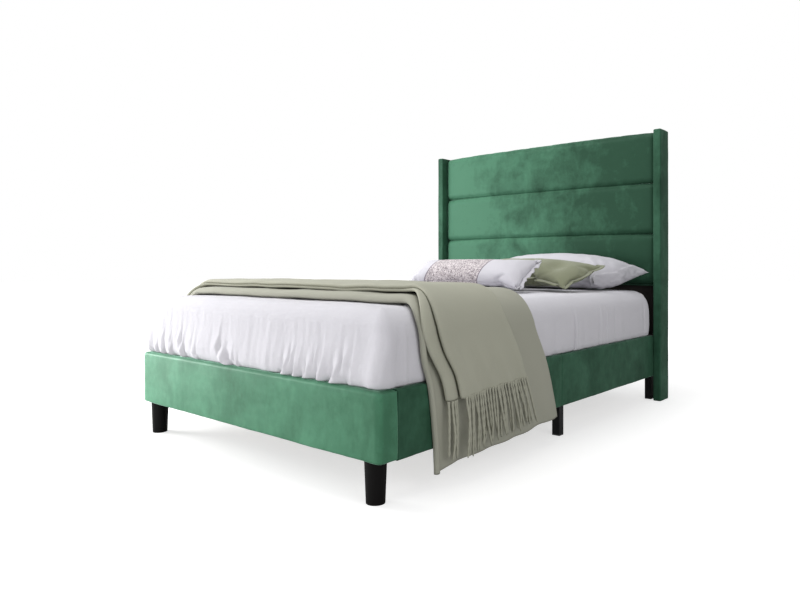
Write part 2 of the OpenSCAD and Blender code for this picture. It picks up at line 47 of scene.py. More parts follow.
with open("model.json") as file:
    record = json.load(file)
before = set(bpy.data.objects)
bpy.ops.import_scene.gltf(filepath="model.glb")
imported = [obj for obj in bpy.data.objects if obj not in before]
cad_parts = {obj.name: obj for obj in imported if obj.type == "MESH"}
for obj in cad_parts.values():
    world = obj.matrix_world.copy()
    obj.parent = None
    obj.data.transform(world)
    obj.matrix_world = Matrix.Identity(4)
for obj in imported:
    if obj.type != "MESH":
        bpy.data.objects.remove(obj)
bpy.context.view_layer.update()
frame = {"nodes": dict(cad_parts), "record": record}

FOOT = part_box("footboard_cover")[0].y
SHEET_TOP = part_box("bed_sheet")[1].z
RAIL_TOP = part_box("footboard_cover")[1].z


# ---------------------------------------------------------------- sizes and colours


def colour_property(name, description, default):
    """A colour with the usual limits, in linear values."""
    return FloatVectorProperty(
        name=name, description=description, default=default, subtype="COLOR", size=3, min=0, max=1
    )


def length_property(name, description, default, low=0.0, high=1.0):
    """A length in metres."""
    return FloatProperty(
        name=name, description=description, default=default, min=low, max=high, unit="LENGTH"
    )


def power_property(name, description, default):
    """The power of a light."""
    return FloatProperty(name=name, description=description, default=default, min=0, unit="POWER")


class BedUpholstery(bpy.types.PropertyGroup):
    """Sizes and colours of the velvet work."""

    velvet: colour_property("Velvet", "Colour of the velvet in even light", (0.026, 0.082, 0.046))
    # The lighter colour shows where the nap is brushed up, and the painted light slope of velvet() also mixes more of
    # it in towards one end along X.
    velvet_light: colour_property("Velvet, brushed up", "Colour where the nap is brushed up", (0.052, 0.150, 0.090))
    pad_roll: length_property("Pad roll", "How far a channel pad's edges roll over", 0.034, 0.005, 0.05)
    pad_crown: length_property("Pad crown", "How far a channel pad swells in its middle", 0.009, 0.0, 0.015)
    board_roll: length_property("Footboard roll", "Radius of the footboard's long edges", 0.010, 0.004, 0.03)
    corner_roll: length_property("Corner roll", "Radius of the footboard's upright corners", 0.026, 0.01, 0.03)
    rail_roll: length_property("Rail roll", "Radius of the rails' long edges", 0.008, 0.002, 0.012)


class BedLinen(bpy.types.PropertyGroup):
    """Sizes and colours of the sheet, blanket and throw."""

    linen: colour_property("Linen", "Colour of the sheet", (0.585, 0.575, 0.612))
    blanket: colour_property("Blanket", "Colour of the blanket's wool", (0.185, 0.178, 0.128))
    throw: colour_property("Throw", "Colour of the throw's wool", (0.225, 0.220, 0.160))
    side_bulge: length_property(
        "Side bulge", "How far the sheet swells past the mattress at its sides", 0.027, 0.0, 0.04
    )
    foot_bulge: length_property("Foot bulge", "How far the sheet swells over the footboard", 0.062, 0.0, 0.08)
    head_bulge: length_property("Head bulge", "How far the sheet swells at the head", 0.006, 0.0, 0.02)
    pleat_depth: length_property("Pleat depth", "Depth of the tucked pleats at the foot", 0.017, 0.0, 0.04)
    cloth: length_property("Cloth thickness", "Thickness of the wool", 0.0032, 0.001, 0.006)
    strands: IntProperty(name="Strands", description="Twisted strands in the fringe", default=29, min=5, max=60)
    strand_length: length_property("Strand length", "Length of a strand of the fringe", 0.19, 0.05, 0.3)
    strand_radius: length_property("Strand radius", "Radius of a strand of the fringe", 0.0044, 0.001, 0.006)


class BedCushions(bpy.types.PropertyGroup):
    """Sizes and colours of the cushions."""

    white: colour_property("White cover", "Colour of the white covers", (0.52, 0.51, 0.55))
    sage: colour_property("Sage cover", "Colour of the sage cover", (0.205, 0.218, 0.140))
    speckle: colour_property("Speckle", "Dark colour of the speckled panel", (0.13, 0.105, 0.12))
    cell: length_property("Cloth cell", "Size of a cell of the simulated covers", 0.012, 0.006, 0.03)
    pressure: FloatProperty(name="Stuffing", description="Pressure of the stuffing", default=4.0, min=0.5, max=12)
    frames: IntProperty(name="Frames", description="Frames that a cushion takes to swell", default=22, min=2, max=60)
    flange: length_property("Flange", "Width of the sage cushion's flat border", 0.020, 0.0, 0.05)
    ruffle: length_property("Ruffle", "Width of the ruffles of the front cushion", 0.022, 0.0, 0.06)


class BedStage(bpy.types.PropertyGroup):
    """The studio."""

    show_floor: BoolProperty(name="Floor", description="Put a pale floor under the bed", default=True)
    floor_colour: colour_property("Floor colour", "Colour of the floor", (0.50, 0.50, 0.50))
    ambient: FloatProperty(
        name="Ambient", description="Strength of the even light from all round", default=0.42, min=0
    )
    key_power: power_property("Window", "Power of the small light by the headboard", 13.0)
    top_power: power_property("Overhead", "Power of the light over the bed", 64.0)
    low_power: power_property("Low front", "Power of the low light in front", 24.0)
    fill_power: power_property("Front left", "Power of the light at the foot's left", 64.0)
    side_power: power_property("Side", "Power of the light at the right", 38.0)
    camera_height: length_property("Camera height", "Height of the camera over the floor", 0.6959, 0.0, 3.0)


# ---------------------------------------------------------------- shader nodes


def feed(tree, node, inputs):
    """Sets a node's inputs; each is a value or the socket that feeds it."""
    for key, value in inputs.items():
        if isinstance(value, bpy.types.NodeSocket):
            tree.links.new(value, node.inputs[key])
        else:
            node.inputs[key].default_value = value


def add_node(tree, kind, inputs=None, **settings):
    """Adds a shader node with its settings and inputs."""
    node = tree.nodes.new(kind)
    for key, value in settings.items():
        setattr(node, key, value)
    feed(tree, node, inputs or {})
    return node


def math_node(tree, operation, first, second=0.0, clamp=False):
    """One sum, as the socket that holds its result."""
    node = add_node(tree, "ShaderNodeMath", {0: first, 1: second}, operation=operation, use_clamp=clamp)
    return node.outputs[0]


def plus(tree, first, second):
    """The sum of two values."""
    return math_node(tree, "ADD", first, second)


def minus(tree, first, second):
    """The first value less the second."""
    return math_node(tree, "SUBTRACT", first, second)


def times(tree, first, second):
    """The product of two values."""
    return math_node(tree, "MULTIPLY", first, second)


# The mix node's sockets share their names, so those for colours go by number.
MIX_FACTOR, MIX_FIRST, MIX_SECOND, MIX_RESULT = 0, 6, 7, 2


def mix_colours(tree, factor, first, second, blend="MIX"):
    """Mixes two colours and gives the resulting socket."""
    inputs = {MIX_FACTOR: factor, MIX_FIRST: first, MIX_SECOND: second}
    return add_node(tree, "ShaderNodeMix", inputs, data_type="RGBA", blend_type=blend).outputs[MIX_RESULT]


def ramp(tree, factor, *stops):
    """A value ramp between (place, grey) stops."""
    node = add_node(tree, "ShaderNodeValToRGB", {"Fac": factor})
    elements = node.color_ramp.elements
    while len(elements) < len(stops):
        elements.new(0.5)
    for element, (place, grey) in zip(elements, stops):
        element.position = place
        element.color = (grey, grey, grey, 1)
    return node.outputs["Color"]


def noise(tree, coordinates, scale, detail=3.0, roughness=0.5, distortion=0.0):
    """Grey noise over the surface."""
    node = add_node(
        tree,
        "ShaderNodeTexNoise",
        {"Vector": coordinates, "Scale": scale, "Detail": detail, "Roughness": roughness, "Distortion": distortion},
    )
    return node.outputs["Fac"]


def stretched(tree, coordinates, scale):
    """Coordinates scaled unevenly, so that what they carry comes out in streaks."""
    return add_node(tree, "ShaderNodeMapping", {"Vector": coordinates, "Scale": scale}).outputs["Vector"]


def new_group(name, inputs, outputs):
    """An empty effect group with named sockets, and its two end nodes."""
    tree = bpy.data.node_groups.new(name, "ShaderNodeTree")
    kinds = {"value": "NodeSocketFloat", "colour": "NodeSocketColor", "vector": "NodeSocketVector"}
    for label, kind, default in inputs:
        socket = tree.interface.new_socket(label, in_out="INPUT", socket_type=kinds[kind])
        socket.default_value = default
    for label, kind in outputs:
        tree.interface.new_socket(label, in_out="OUTPUT", socket_type=kinds[kind])
    start = tree.nodes.new("NodeGroupInput")
    end = tree.nodes.new("NodeGroupOutput")
    here = tree.nodes.new("ShaderNodeTexCoord").outputs["Object"]
    return tree, start.outputs, end.inputs, here


def nap_group():
    """Velvet: soft patches and strokes where the nap lies differently, its fine pile, and painted light: a slope along
    X that mixes in more of the lighter colour towards one end.
    """
    tree, given, result, here = new_group(
        "Velvet nap",
        [("Colour", "colour", (0.1, 0.3, 0.2, 1)), ("Light", "colour", (0.2, 0.5, 0.35, 1)),
         ("Patch Scale", "value", 5.0), ("Pile Scale", "value", 900.0), ("Lean", "value", 0.0)],
        [("Colour", "colour"), ("Height", "value"), ("Roughness", "value")],
    )
    patches = noise(tree, here, given["Patch Scale"], 3.0, 0.55, 0.5)
    mottle = noise(tree, here, 34.0, 4.0, 0.65, 0.3)
    strokes = noise(tree, stretched(tree, here, (30.0, 30.0, 11.0)), 1.0, 3.0, 0.6, 0.4)
    small = plus(tree, times(tree, mottle, 0.55), times(tree, strokes, 0.45))
    nap_and_painted_light = plus(tree, times(tree, patches, 0.62), times(tree, small, 0.38))
    across = add_node(tree, "ShaderNodeSeparateXYZ", {"Vector": here}).outputs["X"]
    # Painted light: more of the lighter colour towards one end along X, as if the light fell off across the piece.
    nap_and_painted_light = plus(tree, nap_and_painted_light, times(tree, across, given["Lean"]))
    mask = ramp(tree, nap_and_painted_light, (0.35, 0.0), (0.50, 0.45), (0.65, 1.0))
    pile = noise(tree, here, given["Pile Scale"], 2.0, 0.7)
    base = mix_colours(tree, mask, given["Colour"], given["Light"])
    shade = plus(tree, times(tree, pile, 0.22), 0.89)
    tree.links.new(mix_colours(tree, 1.0, base, add_grey(tree, shade), "MULTIPLY"), result["Colour"])
    tree.links.new(plus(tree, pile, times(tree, mask, 0.5)), result["Height"])
    tree.links.new(minus(tree, 0.60, times(tree, mask, 0.10)), result["Roughness"])
    return tree


def add_grey(tree, value):
    """A value as a grey colour."""
    return add_node(tree, "ShaderNodeCombineColor", {"Red": value, "Green": value, "Blue": value}).outputs["Color"]


def weave_group():
    """Woven cloth: crossing threads with slubs, and a faint uneven tint."""
    tree, given, result, here = new_group(
        "Woven cloth",
        [("Colour", "colour", (0.8, 0.8, 0.8, 1)), ("Threads per Metre", "value", 700.0),
         ("Slub", "value", 0.5), ("Tint", "value", 0.1)],
        [("Colour", "colour"), ("Height", "value")],
    )
    parts = add_node(tree, "ShaderNodeSeparateXYZ", {"Vector": here}).outputs
    turns = times(tree, given["Threads per Metre"], math.pi)
    waves = []
    for axis in "XYZ":
        wave = math_node(tree, "SINE", times(tree, parts[axis], turns))
        waves.append(math_node(tree, "ABSOLUTE", wave))
    crossed = [times(tree, waves[i], waves[j]) for i, j in ((0, 1), (1, 2), (0, 2))]
    threads = math_node(tree, "MAXIMUM", crossed[0], math_node(tree, "MAXIMUM", crossed[1], crossed[2]))
    slub = noise(tree, stretched(tree, here, (60.0, 420.0, 160.0)), 1.0, 2.0)
    cross = noise(tree, stretched(tree, here, (420.0, 60.0, 420.0)), 1.0, 2.0)
    slubs = times(tree, plus(tree, slub, cross), given["Slub"])
    clouds = noise(tree, here, 9.0, 3.0)
    spread = minus(tree, plus(tree, times(tree, clouds, 0.6), times(tree, slub, 0.4)), 0.5)
    shade = plus(tree, times(tree, spread, times(tree, given["Tint"], 2.0)), 1.0)
    tree.links.new(mix_colours(tree, 1.0, given["Colour"], add_grey(tree, shade), "MULTIPLY"), result["Colour"])
    tree.links.new(plus(tree, threads, slubs), result["Height"])
    return tree


def grain_group():
    """Timber: long rings and pores along one axis."""
    tree, given, result, here = new_group(
        "Timber grain",
        [("Light", "colour", (0.7, 0.55, 0.38, 1)), ("Dark", "colour", (0.5, 0.36, 0.22, 1)),
         ("Stretch", "vector", (2.0, 40.0, 40.0))],
        [("Colour", "colour"), ("Height", "value")],
    )
    inputs = {0: here, 1: given["Stretch"]}
    long = add_node(tree, "ShaderNodeVectorMath", inputs, operation="MULTIPLY").outputs["Vector"]
    rings = noise(tree, long, 1.0, 5.0, 0.6, 1.2)
    pores = noise(tree, long, 9.0, 2.0, 0.6)
    mask = ramp(tree, rings, (0.35, 0.0), (0.5, 0.55), (0.68, 1.0))
    colour = mix_colours(tree, mask, given["Light"], given["Dark"])
    pored = plus(tree, times(tree, pores, 0.3), 0.85)
    tree.links.new(mix_colours(tree, 1.0, colour, add_grey(tree, pored), "MULTIPLY"), result["Colour"])
    tree.links.new(plus(tree, mask, pores), result["Height"])
    return tree


def wear_group():
    """Painted, plated and moulded surfaces: fine texture, smudges and lighter rubbed spots."""
    tree, given, result, here = new_group(
        "Handled surface",
        [("Colour", "colour", (0.02, 0.02, 0.02, 1)), ("Worn Colour", "colour", (0.08, 0.08, 0.08, 1)),
         ("Roughness", "value", 0.45), ("Texture Scale", "value", 500.0)],
        [("Colour", "colour"), ("Roughness", "value"), ("Height", "value")],
    )
    smudges = noise(tree, here, 24.0, 4.0, 0.6)
    grit = noise(tree, here, given["Texture Scale"], 2.0, 0.6)
    rubbed = ramp(tree, noise(tree, here, 60.0, 5.0, 0.7), (0.60, 0.0), (0.78, 1.0))
    tree.links.new(mix_colours(tree, rubbed, given["Colour"], given["Worn Colour"]), result["Colour"])
    spread = times(tree, minus(tree, smudges, 0.5), 0.35)
    tree.links.new(math_node(tree, "ADD", given["Roughness"], spread, clamp=True), result["Roughness"])
    tree.links.new(grit, result["Height"])
    return tree


GROUPS = {"Velvet nap": nap_group, "Woven cloth": weave_group, "Timber grain": grain_group,
          "Handled surface": wear_group}


def place_group(tree, name, values):
    """Places an effect group, which is built the first time that it is asked for."""
    group = bpy.data.node_groups.get(name) or GROUPS[name]()
    return add_node(tree, "ShaderNodeGroup", values, node_tree=group).outputs


def opaque(colour):
    """A colour with full alpha."""
    return (*colour[:3], 1.0)


def new_finish(name):
    """A material with an empty tree, its shader and the tree."""
    material = bpy.data.materials.new(name)
    material.use_nodes = True
    tree = material.node_tree
    shader = tree.nodes["Principled BSDF"]
    return material, tree, shader


def bump(tree, shader, height, strength, distance):
    """Feeds a height to the shader's normal."""
    node = add_node(tree, "ShaderNodeBump", {"Height": height, "Strength": strength, "Distance": distance})
    tree.links.new(node.outputs["Normal"], shader.inputs["Normal"])


def velvet(name="green_velvet", depth=0.95, gloss=0.85, lean=0.0, spread=0.0):
    """Green velvet. depth scales its two colours and gloss its sheen and specular: a lower depth paints shade into a
    copy for pieces in shadow, and a higher one paints light into a lit copy.
    lean is painted light: how much more of the lighter colour is mixed in for each metre along X. spread is how far
    apart its two colours are."""
    look = bpy.context.scene.bed_upholstery
    material, tree, shader = new_finish(name)
    dark = [depth * (1 - spread) * c for c in look.velvet]
    light = [depth * (1 + spread) * c for c in look.velvet_light]
    nap = place_group(tree, "Velvet nap", {"Colour": opaque(dark), "Light": opaque(light), "Lean": lean})
    feed(tree, shader, {
        "Base Color": nap["Colour"], "Roughness": nap["Roughness"], "Sheen Weight": min(1.0, gloss),
        "Sheen Roughness": 0.23, "Sheen Tint": (0.62, 1.0, 0.80, 1),
        "Specular IOR Level": 0.4 * gloss, "Specular Tint": (0.60, 1.0, 0.80, 1),
    })
    bump(tree, shader, nap["Height"], 0.35, 0.0006)
    return material


def woven(name, colour, threads, slub, tint, rough=0.9, sheen=0.15, relief=0.0005, strength=0.4, crumple=0.0):
    """A plain woven or knitted cloth; crumple is how much its fine creases count beside its threads."""
    material, tree, shader = new_finish(name)
    cloth = place_group(tree, "Woven cloth", {"Colour": opaque(colour), "Threads per Metre": threads,
                                             "Slub": slub, "Tint": tint})
    feed(tree, shader, {"Base Color": cloth["Colour"], "Roughness": rough, "Sheen Weight": sheen,
                        "Sheen Roughness": 0.5, "Specular IOR Level": 0.2})
    height = cloth["Height"]
    if crumple:
        here = tree.nodes.new("ShaderNodeTexCoord").outputs["Object"]
        creases = plus(tree, noise(tree, here, 26.0, 4.0, 0.55, 0.8), noise(tree, here, 75.0, 2.0))
        height = plus(tree, height, times(tree, creases, crumple))
    bump(tree, shader, height, strength, relief)
    return material


def timber(name, light, dark, stretch, rough=0.6):
    """Bare or sealed wood."""
    material, tree, shader = new_finish(name)
    grain = place_group(tree, "Timber grain", {"Light": opaque(light), "Dark": opaque(dark), "Stretch": stretch})
    feed(tree, shader, {"Base Color": grain["Colour"], "Roughness": rough})
    bump(tree, shader, grain["Height"], 0.25, 0.0005)
    return material


def hard(name, colour, worn, rough, scale, metallic=0.0, coat=0.0, relief=0.0002, specular=0.5):
    """Lacquer, powder coat, plating or moulded plastic."""
    material, tree, shader = new_finish(name)
    surface = place_group(tree, "Handled surface", {"Colour": opaque(colour), "Worn Colour": opaque(worn),
                                                   "Roughness": rough, "Texture Scale": scale})
    feed(tree, shader, {"Base Color": surface["Colour"], "Roughness": surface["Roughness"], "Metallic": metallic,
                        "Specular IOR Level": specular, "Coat Weight": coat, "Coat Roughness": 0.25})
    bump(tree, shader, surface["Height"], 0.3, relief)
    return material


# The speckled panel: its middle and half its width along X, the height at which they hold, its lean for
# each metre of height, and how far inside its edges the second line runs.
PANEL_MIDDLE = 0.005
PANEL_HALF = 0.165
PANEL_HEIGHT = 0.66
PANEL_SLANT = 0.45
PANEL_INSET = 0.022


def speckled():
    """The front cushion's cover: a speckled panel between two border lines, and plain ends."""
    look = bpy.context.scene.bed_cushions
    material, tree, shader = new_finish("speckled_cover")
    here = tree.nodes.new("ShaderNodeTexCoord").outputs["Object"]
    place = add_node(tree, "ShaderNodeSeparateXYZ", {"Vector": here}).outputs
    slant = times(tree, minus(tree, place["Z"], PANEL_HEIGHT), PANEL_SLANT)
    across = minus(tree, place["X"], slant)
    from_middle = math_node(tree, "ABSOLUTE", minus(tree, across, PANEL_MIDDLE))
    panel = math_node(tree, "LESS_THAN", from_middle, PANEL_HALF)
    beyond = math_node(tree, "ABSOLUTE", minus(tree, from_middle, PANEL_HALF))
    border = math_node(tree, "LESS_THAN", beyond, 0.0035)
    within = math_node(tree, "ABSOLUTE", minus(tree, from_middle, PANEL_HALF - PANEL_INSET))
    second = math_node(tree, "LESS_THAN", within, 0.002)
    cells = add_node(tree, "ShaderNodeTexVoronoi", {"Vector": here, "Scale": 120.0, "Randomness": 1.0})
    flecks = ramp(tree, noise(tree, here, 105.0, 3.0, 0.7, 2.2), (0.43, 0.0), (0.49, 1.0))
    tone = mix_colours(tree, flecks, (0.66, 0.61, 0.63, 1), opaque(look.speckle))
    warm = ramp(tree, cells.outputs["Distance"], (0.25, 0.0), (0.6, 1.0))
    tone = mix_colours(tree, times(tree, warm, 0.45), tone, (0.74, 0.68, 0.68, 1))
    cloth = place_group(tree, "Woven cloth", {"Colour": opaque(look.white), "Threads per Metre": 900.0,
                                             "Slub": 0.4, "Tint": 0.06})
    colour = mix_colours(tree, panel, cloth["Colour"], tone)
    lines = math_node(tree, "MAXIMUM", border, times(tree, second, 0.5))
    colour = mix_colours(tree, lines, colour, (0.20, 0.17, 0.20, 1))
    feed(tree, shader, {"Base Color": colour, "Roughness": 0.85, "Sheen Weight": 0.1})
    height = plus(tree, cloth["Height"], times(tree, panel, flecks))
    bump(tree, shader, height, 0.4, 0.0006)
    return material


def finish(key):
    """The finish of that name, made once.

    The frame comes with a plain material for each slot, under the slot's own name, and the lookup at the
    end finds it. So the makers whose key is also a slot's name aren't reached, and those finishes are plain:
    blanket_wool, throw_wool, mattress_ticking, strap_webbing, dust_cloth, plywood, softwood, slat_wood and
    black_plastic. They need names that no slot has."""
    linen, cushions = bpy.context.scene.bed_linen, bpy.context.scene.bed_cushions
    makers = {
        "velvet": velvet,
        # Lit and shaded copies of one velvet: the headboard's is painted a little darker, with a painted light slope
        # along X; the footboard's is painted lighter; and the one for the wings, rails and board is painted darker, as
        # shade.
        "headboard_velvet": lambda: velvet("headboard_velvet", 0.80, 0.54, -0.34, 0.22),
        "foot_velvet": lambda: velvet("foot_velvet", 1.80, 0.70, -0.10, 0.02),
        "dark_velvet": lambda: velvet("dark_velvet", 0.68, 0.40, 0.0, 0.15),
        "speckled": speckled,
        "sheet_linen": lambda: woven(
            "sheet_linen", linen.linen, 620.0, 0.5, 0.05, sheen=0.1, relief=0.0005, crumple=6.0),
        "blanket_wool": lambda: woven(
            "blanket_wool", linen.blanket, 420.0, 0.6, 0.14, sheen=0.5, relief=0.0006, crumple=1.5),
        "throw_wool": lambda: woven(
            "throw_wool", linen.throw, 520.0, 0.5, 0.12, sheen=0.6, relief=0.0005, crumple=1.5),
        "white_cotton": lambda: woven(
            "white_cotton", cushions.white, 800.0, 0.4, 0.05, sheen=0.1, relief=0.0004, crumple=5.0),
        "sage_cotton": lambda: woven(
            "sage_cotton", cushions.sage, 700.0, 0.5, 0.12, sheen=0.35, relief=0.0004, crumple=3.0),
        "mattress_ticking": lambda: woven("mattress_ticking", (0.76, 0.75, 0.74), 300.0, 0.3, 0.06, relief=0.0008),
        "strap_webbing": lambda: woven("strap_webbing", (0.10, 0.10, 0.11), 500.0, 0.3, 0.2, relief=0.0006),
        "dust_cloth": lambda: woven("dust_cloth", (0.022, 0.022, 0.024), 260.0, 1.0, 0.5, sheen=0.05),
        "dark_cloth": lambda: woven("dark_cloth", (0.016, 0.013, 0.012), 420.0, 0.6, 0.4, sheen=0.1),
        "plywood": lambda: timber("plywood", (0.58, 0.43, 0.27), (0.42, 0.29, 0.16), (3.0, 3.0, 60.0)),
        "softwood": lambda: timber("softwood", (0.62, 0.47, 0.29), (0.44, 0.29, 0.15), (3.0, 50.0, 50.0)),
        "slat_wood": lambda: timber("slat_wood", (0.66, 0.51, 0.33), (0.48, 0.34, 0.19), (2.0, 60.0, 90.0), 0.45),
        "black_lacquer": lambda: hard(
            "black_lacquer", (0.005, 0.0045, 0.0045), (0.009, 0.008, 0.008), 0.5, 300.0, specular=0.1),
        "powder_coat": lambda: hard(
            "powder_coat", (0.008, 0.008, 0.009), (0.02, 0.02, 0.021), 0.5, 900.0, specular=0.3),
        "zinc_plate": lambda: hard("zinc_plate", (0.62, 0.63, 0.65), (0.45, 0.45, 0.46), 0.32, 400.0, metallic=1.0),
        "black_plastic": lambda: hard("black_plastic", (0.02, 0.02, 0.021), (0.05, 0.05, 0.05), 0.55, 700.0),
        "staple_wire": lambda: hard("staple_wire", (0.55, 0.55, 0.57), (0.35, 0.35, 0.36), 0.3, 500.0, metallic=1.0),
    }
    found = bpy.data.materials.get({"velvet": "green_velvet", "speckled": "speckled_cover"}.get(key, key))
    return found or makers[key]()


# ---------------------------------------------------------------- shapes


def ripple(points, wavelength, seed):
    """A smooth random field over points, about -1 to 1, the same on every run."""
    random = np.random.default_rng(seed)
    field = np.zeros(len(points))
    for _ in range(8):
        direction = random.normal(size=3)
        direction /= np.linalg.norm(direction)
        turns = 2 * math.pi / (wavelength * random.uniform(0.7, 1.5))
        field += np.sin(points @ direction * turns + random.uniform(0, 2 * math.pi))
    return field / 3.4


def eased(value, low, high):
    """0 below low, 1 above high, and a smooth step between."""
    t = np.clip((np.asarray(value, float) - low) / (high - low), 0, 1)
    return t * t * (3 - 2 * t)


def spline(points, count, weights=1.0):
    """A smooth curve through points, cut into count even places along its length; a weight for each
    column says how much it counts towards that length."""
    points = np.asarray(points, float)
    padded = np.concatenate([2 * points[:1] - points[1:2], points, 2 * points[-1:] - points[-2:-1]])
    fine = []
    for i in range(len(points) - 1):
        p0, p1, p2, p3 = padded[i : i + 4]
        for t in np.linspace(0, 1, 12, endpoint=False):
            fine.append(0.5 * (2 * p1 + (p2 - p0) * t + (2 * p0 - 5 * p1 + 4 * p2 - p3) * t**2
                               + (3 * p1 - 3 * p2 + p3 - p0) * t**3))
    fine = np.array(fine + [points[-1]])
    along = np.concatenate([[0], np.cumsum(np.linalg.norm(np.diff(fine, axis=0) * weights, axis=1))])
    places = np.linspace(0, along[-1], count)
    return np.stack([np.interp(places, along, fine[:, k]) for k in range(fine.shape[1])], axis=1)


def curve_at(stops, value):
    """Reads a smooth curve through stops, each a place and its value."""
    fine = spline(stops, 90)
    return np.interp(value, fine[:, 0], fine[:, 1])


def grid_faces(rows, columns, start=0, close_rows=False, close_columns=False):
    """Quads of a grid whose points are numbered row by row."""
    faces = []
    for i in range(rows - (not close_rows)):
        for j in range(columns - (not close_columns)):
            i2, j2 = (i + 1) % rows, (j + 1) % columns
            faces.append([start + i * columns + j, start + i * columns + j2,
                          start + i2 * columns + j2, start + i2 * columns + j])
    return faces


def add_mesh(name, points, faces, material):
    """A smooth-shaded mesh object with one material and its faces turned outwards."""
    mesh = bpy.data.meshes.new(name)
    mesh.from_pydata([tuple(p) for p in points], [], faces)
    work = bmesh.new()
    work.from_mesh(mesh)
    bmesh.ops.recalc_face_normals(work, faces=work.faces)
    work.to_mesh(mesh)
    work.free()
    mesh.polygons.foreach_set("use_smooth", [True] * len(mesh.polygons))
    mesh.materials.append(material)
    piece = bpy.data.objects.new(name, mesh)
    bpy.context.scene.collection.objects.link(piece)
    return piece


def settle(piece):
    """Turns what the piece's modifiers make into its own mesh."""
    made = bpy.data.meshes.new_from_object(piece.evaluated_get(bpy.context.evaluated_depsgraph_get()))
    old = piece.data
    piece.modifiers.clear()
    piece.data = made
    bpy.data.meshes.remove(old)
    made.name = piece.name
    return piece


def thicken(piece, thickness, offset=-1.0):
    """Gives a surface the thickness of cloth."""
    solid = piece.modifiers.new("thickness", "SOLIDIFY")
    solid.thickness = thickness
    solid.offset = offset
    solid.use_even_offset = False
    return settle(piece)


def fit_in(piece, body, slot, *nodes):
    """The piece rides on a body and stands for the given CAD nodes, which are hidden; slot is not used."""
    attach(piece, body)
    if nodes:
        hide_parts(*nodes)
    return piece


def axis_marks(low, high, radii, cell):
    """Places along one axis, closer together where the two ends round over."""
    turn = 1 - np.tan(np.radians(np.linspace(45, 0, 6)))
    start = low + radii[0] * turn
    end = (high - radii[1] * turn)[::-1]
    middle = np.linspace(start[-1], end[0], max(2, round((end[0] - start[-1]) / cell)) + 1)
    return np.concatenate([start[:-1], middle, end[1:]])


def rounded_block(low, high, radii, cell):
    """Points, their outward directions and faces of a closed block with rolled edges.
    radii holds, for each axis, how far the edges roll over at its low end and at its high end."""
    low, high, radii = np.array(low), np.array(high), np.maximum(np.array(radii, float), 1e-4)
    marks = [axis_marks(low[k], high[k], radii[k], cell) for k in range(3)]
    index, places, faces = {}, [], []

    def number(key):
        if key not in index:
            index[key] = len(places)
            places.append([marks[k][key[k]] for k in range(3)])
        return index[key]

    for axis in range(3):
        u, v = (axis + 1) % 3, (axis + 2) % 3
        for side in (0, len(marks[axis]) - 1):
            for i in range(len(marks[u]) - 1):
                for j in range(len(marks[v]) - 1):
                    corner = []
                    for du, dv in ((0, 0), (1, 0), (1, 1), (0, 1)):
                        key = [0, 0, 0]
                        key[axis], key[u], key[v] = side, i + du, j + dv
                        corner.append(number(tuple(key)))
                    faces.append(corner if side else corner[::-1])
    places = np.array(places)
    inner = np.clip(places, low + radii[:, 0], high - radii[:, 1])
    reach = places - inner
    radius = np.where(reach < 0, radii[:, 0], radii[:, 1])
    turned = reach / radius
    turned /= np.linalg.norm(turned, axis=1)[:, None]
    outward = turned / radius
    outward /= np.linalg.norm(outward, axis=1)[:, None]
    return inner + turned * radius, outward, faces


def upholster(name, low, high, radii, cell, crown, seed, material, tucks=None):
    """A foam block under a cover: rolled edges, swelling faces and a cloth that isn't quite even."""
    points, outward, faces = rounded_block(low, high, radii, cell)
    low, high = np.array(low), np.array(high)
    share = (points - low) / (high - low) * 2 - 1
    swell = np.ones(len(points))
    for k in range(3):
        swell *= 1 - np.abs(outward[:, k] < 0.5) * np.clip(np.abs(share[:, k]), 0, 1) ** 4
    lift = crown * swell + 0.0006 * ripple(points, 0.16, seed) + 0.00025 * ripple(points, 0.045, seed + 1)
    points = points + outward * lift[:, None]
    if tucks is not None:
        points = tucks(points, outward)
    return add_mesh(name, points, faces, material)


# ---------------------------------------------------------------- velvet work


# How far neighbouring pads press into each other, and how far a rail cover's inner face is set back, which
# is also the radius of its inner edges.
PAD_PRESS = 0.0008
RAIL_GAP = 0.0008


